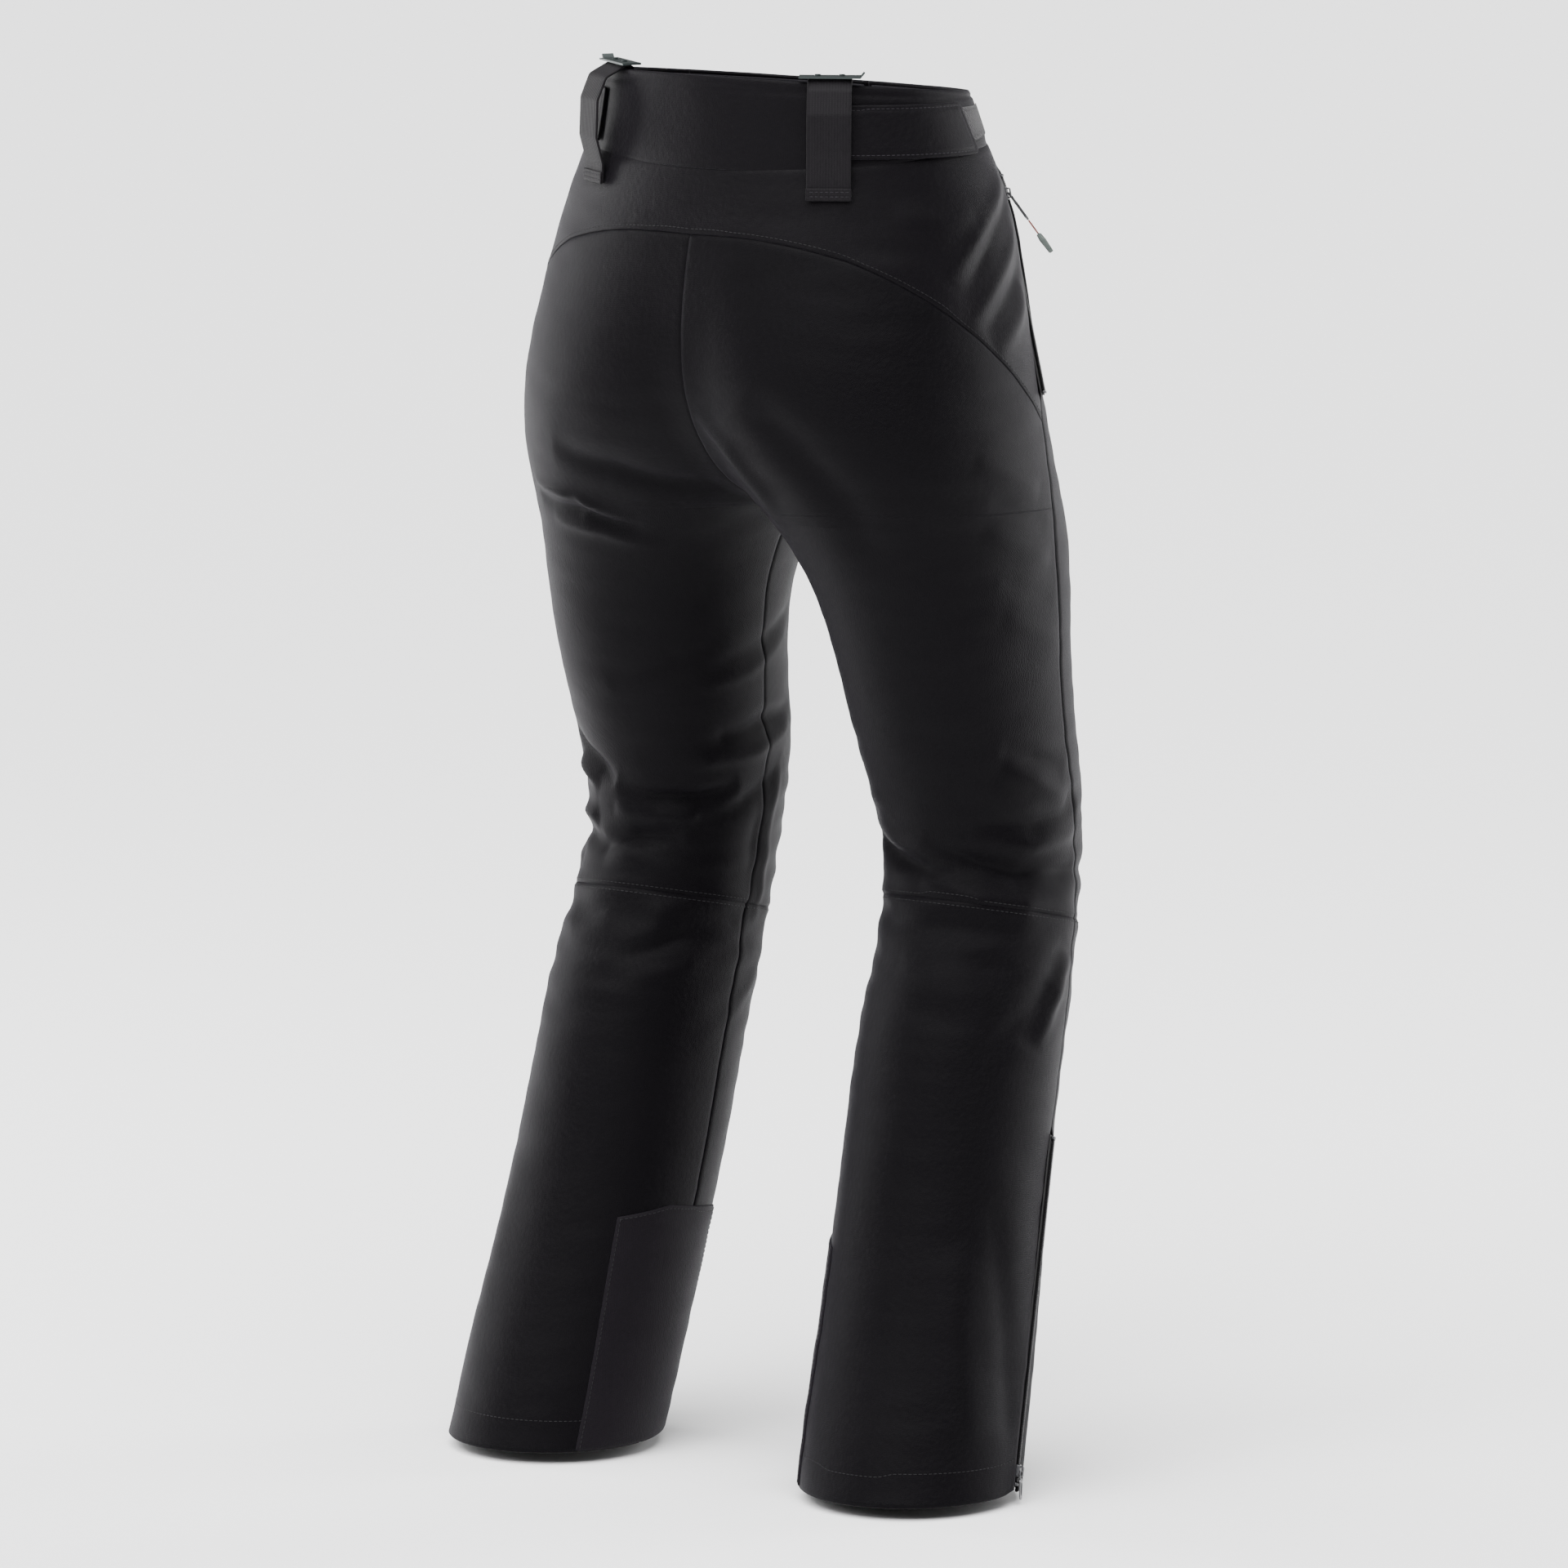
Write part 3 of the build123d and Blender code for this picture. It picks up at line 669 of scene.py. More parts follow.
def webbing_cloth(name, dark, light):
    """Ribbed webbing: strong lengthwise ribs with fine picks across."""
    g = Graph(name)
    uv = g.cloth_uv()
    parts = g.node("ShaderNodeSeparateXYZ", Vector=uv)
    ribs = g.math("SINE", g.times(parts.outputs[0], 2 * math.pi / 0.0021))
    picks = g.math("SINE", g.times(parts.outputs[1], 2 * math.pi / 0.0011))
    height = g.add(ribs, g.times(picks, 0.5))
    dust = g.noise(g.stretched(uv, (500, 60, 1)), 1.0, 3.0)
    return g.shade(Base_Color=g.tint(g.add(dust, g.times(height, 0.08)), dark, light),
                   Roughness=g.between(dust, 0.5, 0.75), Sheen_Weight=0.03, Specular_IOR_Level=0.08,
                   Normal=g.bump(height, 0.00010, 0.7))


def pile_cloth(name, dark, light):
    """Looped pile of a hook-and-loop patch."""
    g = Graph(name)
    place = g.place()
    loops = g.node("ShaderNodeTexVoronoi", Vector=place, Scale=900.0)
    fuzz = g.noise(place, 400.0, 4.0)
    return g.shade(Base_Color=g.tint(fuzz, dark, light), Roughness=g.between(fuzz, 0.85, 1.0),
                   Sheen_Weight=0.15, Specular_IOR_Level=0.1,
                   Normal=g.bump(g.add(loops.outputs["Distance"], fuzz), 0.0006, 0.9))


def hard(name, dark, light, rough, metallic, scratch=0.5, grain=260.0, gloss=0.5):
    """Coated metal or moulded plastic, with fine scratches and edges rubbed lighter."""
    g = Graph(name)
    place = g.place()
    grit = g.noise(place, grain, 3.0)
    lines = g.noise(g.stretched(place, (60, 900, 60)), 3.0, 2.0)
    rubbed = g.between(g.node("ShaderNodeNewGeometry").outputs["Pointiness"], 0.0, 1.0, 0.5, 0.62)
    wear = g.add(g.times(rubbed, 0.7), g.times(lines, scratch))
    return g.shade(Base_Color=g.tint(wear, dark, light), Metallic=metallic, Specular_IOR_Level=gloss,
                   Roughness=g.between(grit, rough - 0.1, rough + 0.12), Normal=g.bump(grit, 0.00003, 0.5))


SHELL = fabric("shell_softshell", (0.0006, 0.0004, 0.0008), (0.0015, 0.0011, 0.0018))
YOKE = fabric("yoke_softshell", (0.0009, 0.0006, 0.0011), (0.0022, 0.0017, 0.0026), rough=0.48, gloss=0.06)
GUARD = fabric("guard_canvas", (0.0030, 0.0023, 0.0033), (0.0068, 0.0056, 0.0073), rough=0.56, pitch=0.0014,
               twill=0.0, relief_depth=0.00006)
LINING = fabric("lining_taffeta", (0.010, 0.0095, 0.011), (0.020, 0.019, 0.022), rough=0.42, sheen=0.02,
                pitch=0.0008, twill=0.0, relief_depth=0.00003)
GAITER = fabric("gaiter_taffeta", (0.005, 0.005, 0.006), (0.012, 0.012, 0.013), rough=0.5, sheen=0.02,
                pitch=0.0012, twill=0.0, relief_depth=0.00005)
TAPE = webbing_cloth("zip_tape_cloth", (0.0015, 0.0015, 0.002), (0.005, 0.0045, 0.0055))
WEBBING = webbing_cloth("loop_webbing", (0.0024, 0.0019, 0.0026), (0.0062, 0.0052, 0.0066))
PILE = pile_cloth("loop_pile_cloth", (0.004, 0.0035, 0.004), (0.018, 0.016, 0.019))
THREAD = hard("stitch_thread", (0.006, 0.005, 0.0065), (0.030, 0.027, 0.033), 0.6, 0.0, 0.9, 1500.0, 0.15)
DARK_THREAD = hard("dark_thread", (0.0015, 0.0015, 0.002), (0.010, 0.009, 0.011), 0.65, 0.0, 0.7,
                   1500.0, 0.25)
TEETH = hard("zip_teeth_plastic", (0.002, 0.002, 0.0025), (0.009, 0.0085, 0.0095), 0.42, 0.0, gloss=0.12)
BLACK_METAL = hard("black_metal_coating", (0.008, 0.008, 0.009), (0.07, 0.07, 0.075), 0.38, 0.8)
PLATE_METAL = hard("grey_metal_plate", (0.009, 0.013, 0.013), (0.040, 0.052, 0.050), 0.45, 0.5)
BRIGHT_METAL = hard("pull_nickel", (0.022, 0.022, 0.024), (0.10, 0.10, 0.105), 0.34, 0.85)
WIRE = hard("pull_wire_red", (0.06, 0.012, 0.010), (0.16, 0.05, 0.04), 0.5, 0.0)
GRIP = hard("grip_rubber", (0.018, 0.025, 0.022), (0.055, 0.068, 0.062), 0.55, 0.0)


# --- camera, floor and light ---

VIEW_AZIMUTH = 215.0
VIEW_HEIGHT = 9.5
VIEW_DISTANCE = 9.0
VIEW_CENTRE = Vector((0, 0, -0.512))
LENS = 272.5
FLOOR_HALF = 500.0
FLOOR_GAP = 0.004
PAPER = ((0.84, 0.84, 0.845), (0.88, 0.88, 0.885))
# The room is dim above, and as bright as the floor at the horizon and below: brightness, height.
ROOM_LIGHT = (2.0, 0.0)
ROOM_DIM = (0.22, 0.04)
# Broad even light from above keeps the floor equally pale near and far.
SUN_TURN, SUN_HEIGHT, SUN_STRENGTH, SUN_SOFTNESS = -25, 70, 9.5, 70
# Soft panels: turn from the camera, height, distance, size, watts.
SOFTBOXES = {
    "key": (-48, 30, 3.2, (1.2, 2.2), 45),
    "rim_right": (112, 8, 2.8, (0.9, 2.2), 70),
    "rim_left": (-122, 12, 2.8, (0.7, 2.0), 60),
}


def aim(obj, azimuth, elevation, distance):
    """Places an object so that it looks at the view's centre."""
    a, e = math.radians(azimuth), math.radians(elevation)
    back = Vector((math.sin(a) * math.cos(e), -math.cos(a) * math.cos(e), math.sin(e)))
    obj.rotation_mode = "QUATERNION"
    obj.location = VIEW_CENTRE + back * distance
    obj.rotation_quaternion = back.to_track_quat("Z", "Y")
    return obj


def make_camera():
    data = bpy.data.cameras.new("camera")
    data.lens = LENS
    data.clip_end = 2 * FLOOR_HALF
    data.sensor_width = 36
    data.dof.use_dof = False
    bpy.context.scene.camera = aim(add_object("camera", data), VIEW_AZIMUTH, VIEW_HEIGHT, VIEW_DISTANCE)


def make_floor():
    """Pale paper floor, just under the lowest point."""
    low = cad_box[0].z - FLOOR_GAP
    corners = [(x * FLOOR_HALF, y * FLOOR_HALF, low) for x, y in ((-1, -1), (1, -1), (1, 1), (-1, 1))]
    mesh = bpy.data.meshes.new("floor")
    mesh.from_pydata(corners, [], [(0, 1, 2, 3)])
    g = Graph("floor_paper")
    mesh.materials.append(g.shade(Base_Color=g.tint(g.noise(g.place(), 180.0, 4.0), *PAPER), Roughness=0.85))
    add_object("floor", mesh)


def make_lighting():
    world = bpy.data.worlds.new("studio")
    bpy.context.scene.world = world
    world.use_nodes = True
    nodes, links = world.node_tree.nodes, world.node_tree.links
    background = nodes["Background"]
    background.inputs["Color"].default_value = (1.0, 1.0, 1.0, 1)
    direction = nodes.new("ShaderNodeSeparateXYZ")
    links.new(nodes.new("ShaderNodeTexCoord").outputs["Generated"], direction.inputs[0])
    rise = nodes.new("ShaderNodeMapRange")
    links.new(direction.outputs["Z"], rise.inputs["Value"])
    for end, (strength, height) in (("Min", ROOM_LIGHT), ("Max", ROOM_DIM)):
        rise.inputs[f"From {end}"].default_value = height
        rise.inputs[f"To {end}"].default_value = strength
    links.new(rise.outputs["Result"], background.inputs["Strength"])
    sun = bpy.data.lights.new("softbox", "SUN")
    sun.energy = SUN_STRENGTH
    sun.angle = math.radians(SUN_SOFTNESS)
    aim(add_object("softbox", sun), VIEW_AZIMUTH + SUN_TURN, SUN_HEIGHT, 5)
    for name, (turn, height, distance, size, watts) in SOFTBOXES.items():
        data = bpy.data.lights.new(name, "AREA")
        data.shape = "RECTANGLE"
        data.size, data.size_y = size
        data.energy = watts
        aim(add_object(name, data), VIEW_AZIMUTH + turn, height, distance)


make_camera()
make_floor()
make_lighting()


# --- panels ---

SHELL_THICKNESS = 1.6
SEAM = (1.2, 1.6)
SOFT_SEAM = (0.6, 1.6)
BACK_YOKE_SEAM = (0.8, 1.1)
CENTRE_SEAM = (0.4, 0.9)
KNEE_SEAM = (0.8, 1.4)
SHIN_TOP = (0.9, 1.4)
YOKE_OUT = 0.35
YOKE_EDGES = [("end", *SEAM), ("bottom", 0.2, 1.4), ("top", 2.2, 4.5)]
# Cloth in the seat's fabric: part, first and last seam, and each sewn edge's depth and width.
PANELS = {
    "back_panel": ("back", "yoke", "knee", [("top", *BACK_YOKE_SEAM), ("start", *CENTRE_SEAM),
                                            ("end", *SEAM), ("bottom", *KNEE_SEAM)]),
    "front_panel": ("front", "band", "knee", [("start", *SEAM), ("end", *SEAM), ("bottom", *KNEE_SEAM),
                                              ("top", 1.6, 7.0)]),
    "shin_back": ("back", "knee", "hem", [("top", *SHIN_TOP), ("start", *SEAM), ("end", *SOFT_SEAM)]),
    "shin_front": ("front", "knee", "hem", [("top", *SHIN_TOP), ("start", *SOFT_SEAM), ("end", *SEAM)]),
}


def stand_in(obj, slot, *nodes, body=None):
    """The piece shows instead of CAD nodes, and rides a body if one is given."""
    if body:
        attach(obj, body)
    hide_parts(*nodes)


def bend_at_knee(obj):
    """Cloth that goes on through the knee: its placement is baked into its mesh."""
    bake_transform(obj)


def joined_halves(left, right):
    """One grid from the right half's columns and the left half's, sharing the centre one."""
    right = (*right[:2], -right[2], right[3])
    return [np.concatenate([b[:, :0:-1], a], 1) for a, b in zip(left, right)]


def make_panels():
    left, right = (panel_points("back", side, "band", "yoke", -YOKE_OUT, YOKE_EDGES) for side in SIDES)
    yoke = shell_object("yoke", [joined_halves(left, right)], SHELL_THICKNESS, YOKE)
    stand_in(yoke, "yoke_fabric", "back_yoke", body="trousers")
    for side in SIDES:
        for node, (part, first, last, edges) in PANELS.items():
            grid = panel_points(part, side, first, last, 0.0, edges)
            panel = shell_object(f"{node}_cloth_{side}", [grid], SHELL_THICKNESS, SHELL)
            bend_at_knee(panel)
            stand_in(panel, "seat_fabric", f"{node}_{side}")


make_panels()


# --- linings, hem facings, pocket bags, gaiters, scuff guards ---

LINING_DEPTH = 3.6
LINING_THICKNESS = 0.5
LINING_STOP = 24
LINING_WIDER = 2.2
GUARD_OUT = 1.5
GUARD_THICKNESS = 1.3
# Outlines drawn from the side, (y, z): the left edge, the right edge and the top.
GUARD_OUTLINE = ([(-28, -852), (0, HEM + 1)], [(78, -846), (104, -936), (128, HEM + 1)],
                 [(-28, -852), (42, -840), (78, -846)])
POCKET_OUTLINE = ([(-76, -42), (-70, -238)], [(-98, -42), (-112, -150), (-108, -236)],
                  [(-76, -42), (-98, -42)])
POCKET_DEPTH = 4.8
FACING_DEPTH = 2.0
FACING_HEIGHT = 20
FACING_WIDER = 0.6
BAG_THICKNESS = 0.8
FACING_THICKNESS = 0.8
GAITER_LEVELS = [(-800, 149, 2, 71, 77), (-890, 155, 30, 67, 71), (-980, 162, 59, 62, 66)]
GAITER_PLEATS = 46
GAITER_INSET = 0.9
GAITER_THICKNESS = 0.6
ELASTIC_AT, ELASTIC_WIDTH = 0.93, 0.1


def make_linings():
    for side in SIDES:
        for name, first, last in (("thigh_lining", "band", "knee"), ("shin_lining", "knee", "hem")):
            grids = []
            for part in ("back", "front"):
                grid = panel_points(part, side, first, last, LINING_DEPTH, (), 2, LINING_WIDER)
                keep = int((grid[0][:, 0, 2] > HEM + LINING_STOP).sum())
                grids.append([rows[:keep] for rows in grid])
            lining = shell_object(f"{name}_cloth_{side}", grids, LINING_THICKNESS, LINING)
            bend_at_knee(lining)
            stand_in(lining, "lining", f"{name}_{side}")


def lerp(a, b, t):
    return a * (1 - t) + b * t


def patch_grid(left, right, top, rows, columns):
    """Side-view (y, z) grid between two edge lines, its top following a third; rows run downwards."""
    v = np.linspace(0, 1, rows)
    u = np.linspace(0, 1, columns)

    def along(line, t):
        run = run_along(line)
        return np.stack([np.interp(t * run[-1], run, values) for values in zip(*line)], -1)

    l, r, edge = along(left, v), along(right, v), along(top, u)
    grid = lerp(l[:, None], r[:, None], u[None, :, None])
    return grid + (1 - v)[:, None, None] * (edge - lerp(edge[:1], edge[-1:], u[:, None]))[None]


def skin_patch(grid, side, inner, inset):
    """Lays a side-view grid on the leg's outer or inner side."""
    angle = angle_at(body_section, grid[..., 0], grid[..., 1])
    if inner:
        angle = math.pi - angle
    return measured(*cloth(side, angle, grid[..., 1], inset))


def pressed_rim(grid, depth, width):
    """Presses the rim of a sewn-on piece down to the cloth under it."""
    return grid[0] + grid[1] * groove(from_rim(grid), depth, width)[..., None], *grid[1:]


def guard_grid(side):
    return skin_patch(patch_grid(*GUARD_OUTLINE, 90, 70), side, True, -GUARD_OUT)


def make_guards():
    for side in SIDES:
        grid = pressed_rim(guard_grid(side), 0.5, 1.5)
        guard = shell_object(f"guard_cloth_{side}", [grid], GUARD_THICKNESS, GUARD)
        stand_in(guard, "guard_fabric", f"scuff_guard_{side}", body=f"shin_{side}")


def make_pocket_bags():
    for side in SIDES:
        grid = skin_patch(patch_grid(*POCKET_OUTLINE, 60, 16), side, False, POCKET_DEPTH)
        bag = shell_object(f"pocket_cloth_{side}", [grid], BAG_THICKNESS, LINING)
        stand_in(bag, "lining", f"pocket_bag_{side}", body="trousers")


def make_hem_facings():
    for side in SIDES:
        grids = []
        for part in ("back", "front"):
            grid = panel_points(part, side, "knee", "hem", FACING_DEPTH, (), 1, FACING_WIDER)
            points, normals, across, down = grid
            keep = int((points[:, 0, 2] < HEM + FACING_HEIGHT).sum())
            grids.append((points[-keep:], normals[-keep:], across[-keep:], down[-keep:] - down[-keep]))
        facing = shell_object(f"hem_facing_cloth_{side}", grids, FACING_THICKNESS, SHELL)
        stand_in(facing, "seat_fabric", f"hem_facing_{side}", body=f"shin_{side}")


def make_gaiters():
    """Light inner cuff gathered by elastic at its lower edge."""
    section = by_height(GAITER_LEVELS)
    z = np.linspace(GAITER_LEVELS[0][0], GAITER_LEVELS[-1][0], 60)[:, None]
    angle = np.linspace(0, 2 * math.pi, 277)[None]
    share = (z - z[0]) / (z[-1] - z[0])
    pleats = np.sin(GAITER_PLEATS * angle) * np.exp(-((share - ELASTIC_AT) / ELASTIC_WIDTH) ** 2)
    for side in SIDES:
        points, normals = (to_side(part, side) for part in on_ellipse(section, angle, z))
        points = points - normals * (GAITER_INSET * (1 + pleats))[..., None]
        points[:, -1] = points[:, 0]
        gaiter = shell_object(f"gaiter_cloth_{side}", [measured(points, normals)], GAITER_THICKNESS, GAITER)
        stand_in(gaiter, "gaiter_fabric", f"snow_gaiter_{side}", body=f"shin_{side}")


# --- waistband ---

BAND_OUT = 0.6
BAND_IN = -2.8
BAND_GAP = 0.6
BAND_PUFF = 0.7
BAND_SEAM_DEPTH = 0.9
# Seams pressed into the band, and its rounded top, as shares of its height.
BAND_SEAMS = (0.90, 0.07)
BAND_ROUND = 0.985
BAND_RIPPLE = 0.35
RIPPLE_SCALE = (26, 26, 60)
RIPPLE_SEED = 5.5
FACING_INSET = 0.15
FACING_GAP = 0.025
FACING_DROP = 2.0
FACING_SHEET = 0.7
# How far in from a strap's edge its stitches press it down.
EDGE_SEAM = 3.2


def waist_point(angle, z, out):
    point, normal = on_ellipse(waist_section, np.asarray(angle, float), np.asarray(z, float))
    return point + normal * np.asarray(out)[..., None], normal


def waist_height(angle, line):
    """Height where a side-view line crosses the band at each angle."""
    return meet_line(waist_section, lambda z: angle, line, np.zeros(len(angle)), 20)


def band_profile(count=22):
    """Cross-section of the band: share of its height, and how far out, going up outside and down inside."""
    t = np.linspace(0, 1, count)
    puff = BAND_PUFF * (1 - np.abs(2 * t - 1) ** 6)
    seams = sum(groove(t - place, BAND_SEAM_DEPTH, 0.02) for place in BAND_SEAMS)
    outer = np.stack([t * BAND_ROUND, BAND_OUT + puff + seams], -1)
    turn = np.linspace(math.pi / 2, -math.pi / 2, 8)[1:-1]
    middle = (BAND_OUT + BAND_IN) / 2
    half = (BAND_OUT - BAND_IN) / 2
    over = np.stack([BAND_ROUND + 0.03 * np.cos(turn), middle + half * np.sin(turn)], -1)
    inner = np.stack([t[::-1] * BAND_ROUND, np.full(count, float(BAND_IN))], -1)
    under = np.stack([-0.01 * np.cos(turn), middle - half * np.sin(turn)], -1)
    return np.vstack([outer, over, inner, under])


def swept_band(name, first, last, count):
    angles = np.linspace(first, last, count)
    low, high = waist_height(angles, BAND_SEAM), waist_height(angles, BAND_TOP)
    share, out = band_profile().T
    z = low[:, None] + (high - low)[:, None] * share[None]
    spread = np.repeat(angles[:, None], len(share), 1)
    base, _ = waist_point(spread, z, 0 * z)
    ripple = BAND_RIPPLE * noise_at(base.reshape(-1, 3), RIPPLE_SCALE, RIPPLE_SEED).reshape(z.shape)
    points, _ = waist_point(spread, z, out[None] + ripple)
    turn = np.cross(points[0, 1] - points[0, 0], points[1, 0] - points[0, 0])
    faces = tube_faces(count, len(share), flip=turn @ (points[0, 5] * (1, 1, 0)) < 0)
    around = np.repeat(run_along(points[0])[None], count, 0)
    uv = np.stack([lengths(points, 0), around], -1).reshape(-1, 2)
    band = make_object(f"band_{name}", points.reshape(-1, 3), faces, YOKE, uv)
    stand_in(band, "yoke_fabric", f"waistband_{name}", body="trousers")


def make_waistband():
    side = float(angle_at(waist_section, side_seam_y(-5.0)[0], -5.0))
    gap = BAND_GAP / 2 / waist_section(0.0)[2]
    swept_band("back", side, math.pi - side, 190)
    swept_band("front_left", -math.pi / 2 + gap, side - 0.002, 80)
    swept_band("front_right", math.pi - side + 0.002, 1.5 * math.pi - gap, 80)
    start = -math.pi / 2 + FACING_GAP
    angles = np.linspace(start, start + 2 * (math.pi - FACING_GAP), 260)
    low, high = waist_height(angles, BAND_SEAM), waist_height(angles, BAND_TOP) - FACING_DROP
    z = low + (high - low) * np.linspace(0, 1, 24)[:, None]
    grid = measured(*waist_point(np.repeat(angles[None], 24, 0), z, 0 * z + BAND_IN - FACING_INSET))
    facing = shell_object("band_facing_cloth", [grid], FACING_SHEET, LINING)
    stand_in(facing, "lining", "waistband_facing", body="trousers")


def strap_on_band(corners, outer, puff, rows, columns, front=False):
    """Grid on the waistband between four corners; corners are (y, z), or (x, z) on the front."""
    (a, b, c, d) = (np.array(k, float) for k in corners)
    u, v = np.linspace(0, 1, columns), np.linspace(0, 1, rows)[:, None]
    place = lerp(lerp(a, b, u[:, None]), lerp(d, c, u[:, None]), v[..., None])
    z = place[..., 1]
    if front:
        angle = -np.arccos(np.clip(place[..., 0] / waist_section(z)[..., 2], -1, 1))
    else:
        angle = angle_at(waist_section, place[..., 0], z)
    grid = measured(*waist_point(angle, z, 0 * angle))
    rim = from_rim(grid)
    lift = outer + puff + groove(rim, puff, 4) + groove(rim - EDGE_SEAM, 0.5, 0.8)
    return grid[0] + grid[1] * lift[..., None], *grid[1:]


def round_end(grid, radius):
    """Draws in the two corners at the grid's last column, for a softly rounded strap end."""
    points, normals, across, down = grid
    reach = across[:, -1:] - across
    half = down[-1:] / 2
    near = np.abs(down - half) - (half - radius)
    pull = radius - np.sqrt(np.clip(radius ** 2 - np.clip(near, 0, radius) ** 2, 0, None))
    fade = np.clip(1 - reach / 30, 0, 1) ** 2
    along = points[:, -2:-1] - points[:, -1:]
    along = along / np.linalg.norm(along, axis=-1, keepdims=True)
    return points + along * (pull * fade)[..., None], normals, across, down


def mirrored(grid, side):
    return to_side(grid[0], side), to_side(grid[1], side), *grid[2:]


# Straps on the band: corners, how far out they lie, their puff, and the grid's rows and columns.
TAB = ([(78, 18), (-8, 15), (-18, -23), (83, -21)], 4.0, 0.5, 34, 84)
PATCH = ([(30, 13), (-58, 9), (-58, -12), (30, -16)], 2.35, 0.0, 26, 70)
CLOSURE = ([(46, 8), (-20, 8), (-20, -18), (46, -18)], 4.6, 0.4, 30, 70)
TAB_THICKNESS = 1.5
PATCH_THICKNESS = 0.7
CLOSURE_THICKNESS = 1.3
TAB_END_RADIUS = 5


def root_at_loop(obj):
    """The tab's placement is baked into its mesh."""
    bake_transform(obj)


def make_adjusters():
    for side in SIDES:
        grid = mirrored(round_end(strap_on_band(*TAB), TAB_END_RADIUS), side)
        tab = shell_object(f"adjuster_strap_{side}", [grid], TAB_THICKNESS, YOKE)
        root_at_loop(tab)
        stand_in(tab, "yoke_fabric", f"adjuster_tab_{side}")
        grid = mirrored(strap_on_band(*PATCH), side)
        patch = shell_object(f"adjuster_pile_{side}", [grid], PATCH_THICKNESS, PILE)
        stand_in(patch, "loop_pile", f"adjuster_patch_{side}", body="trousers")
    grid = strap_on_band(*CLOSURE, front=True)
    closure = shell_object("closure_strap", [grid], CLOSURE_THICKNESS, YOKE)
    stand_in(closure, "yoke_fabric", "closure_tab", body="waist_closure")


# --- brace loops ---

LOOP_X = 100
LOOP_WIDTH = 32
WEBBING_THICKNESS = 1.7
LOOP_BULGE = {"left": 15, "right": 7}
LOOP_CORNER = 2.6
# The turned-under end of the strap, as (out, up) points, and the rows of stitches along it.
LOOP_FOLD = [(14.6, -50.6), (14.7, -49), (14.6, -43.5), (14.2, -42.2)]
FOLD_WIDTH = LOOP_WIDTH + 1.2
FOLD_ROWS = (3.0, 6.2)
UP = np.array([0, 0, 1.0])


def loop_frame(side):
    s = waist_section(0.0)
    y = s[1] + s[3] * math.sqrt(1 - (LOOP_X / s[2]) ** 2)
    out = np.array([LOOP_X / s[2] ** 2, (y - s[1]) / s[3] ** 2, 0])
    out /= np.linalg.norm(out)
    along = np.array([-out[1], out[0], 0])
    return [to_side(part, side) for part in (np.array([LOOP_X, y, 0]), out, along)]


def rounded_path(corners, radius, step=0.7):
    """Follows corners, turning each with a round of about the given radius."""
    corners = [np.array(c, float) for c in corners]
    points = [corners[0]]
    for before, here, after in zip(corners[:-2], corners[1:-1], corners[2:]):
        back, ahead = before - here, after - here
        back_length, ahead_length = np.linalg.norm(back), np.linalg.norm(ahead)
        back, ahead = back / back_length, ahead / ahead_length
        turn = math.acos(np.clip(back @ ahead, -1, 1))
        cut = min(radius * 2.2 / math.tan(turn / 2), 0.48 * back_length, 0.48 * ahead_length)
        for t in np.linspace(0, 1, 9):
            points.append(here + cut * ((1 - t) ** 2 * back + t ** 2 * ahead))
    points.append(corners[-1])
    run = run_along(points)
    t = np.linspace(0, run[-1], int(run[-1] / step))
    return np.stack([np.interp(t, run, values) for values in zip(*points)], -1)


def loop_path(side):
    b = LOOP_BULGE[side]
    corners = [(13.2, -50), (12.8, -36), (3 + b, -16), (2 + b, 12), (b - 5, 29), (-5.5, 37), (-11.5, 37),
               (-14, 29), (-8, 4)]
    return rounded_path(corners, LOOP_CORNER)


def strap_grid(path, side, width, bow):
    """Strap surface along a path of (out, up) points, slightly bowed across its width."""
    origin, out, along = loop_frame(side)
    step = np.gradient(path, axis=0)
    step /= np.linalg.norm(step, axis=1, keepdims=True)
    facing = np.stack([step[:, 1], -step[:, 0]], -1)
    w = np.linspace(-width / 2, width / 2, 29)
    offset = bow * (1 - (2 * w / width) ** 2) + groove(np.abs(w) - width / 2 + 1.6, 0.25, 0.7)
    p = path[:, None] + facing[:, None] * offset[None, :, None]
    points = origin + p[..., :1] * out + w[None, :, None] * along + p[..., 1:] * UP
    normals = facing[:, None, :1] * out + facing[:, None, 1:] * UP + 0 * points
    return points, normals, np.repeat(w[None], len(path), 0), lengths(points, 0)


def fold_grid(side):
    return strap_grid(rounded_path(LOOP_FOLD, 0.6, 0.5), side, FOLD_WIDTH, 0.2)


def make_loops():
    for side in SIDES:
        shell = Shell()
        points, normals, across, down = strap_grid(loop_path(side), side, LOOP_WIDTH, 0.3)
        shell.sheet((points + normals * WEBBING_THICKNESS / 2, normals, across, down), WEBBING_THICKNESS)
        points, normals, across, down = fold_grid(side)
        lift = 0.7 + sum(groove(down - row, 0.35, 0.7) for row in FOLD_ROWS)
        shell.sheet((points + normals * lift[..., None], normals, across, down), 1.1)
        loop = shell.object(f"loop_strap_{side}", WEBBING)
        stand_in(loop, "webbing", f"brace_loop_{side}", body="trousers")


# --- zips ---

TOOTH_PITCH = 1.3
TAPE_LEVEL = 0.8
RAIL_LEVEL = 1.7
HEAD_LEVEL = 3.1
TAPE_WIDTH, TAPE_ASIDE = 6.0, 3.3
CORD_WIDTH, CORD_HEIGHT, CORD_ASIDE = 1.0, 0.9, 0.55
HEAD_LENGTH, HEAD_WIDTH, HEAD_ASIDE = 0.9, 2.9, 0.95
STOP_SIZE = (2.0, 6.4, 2.6)
# The chain's first and last teeth stay this far from its ends.
CHAIN_END = 3


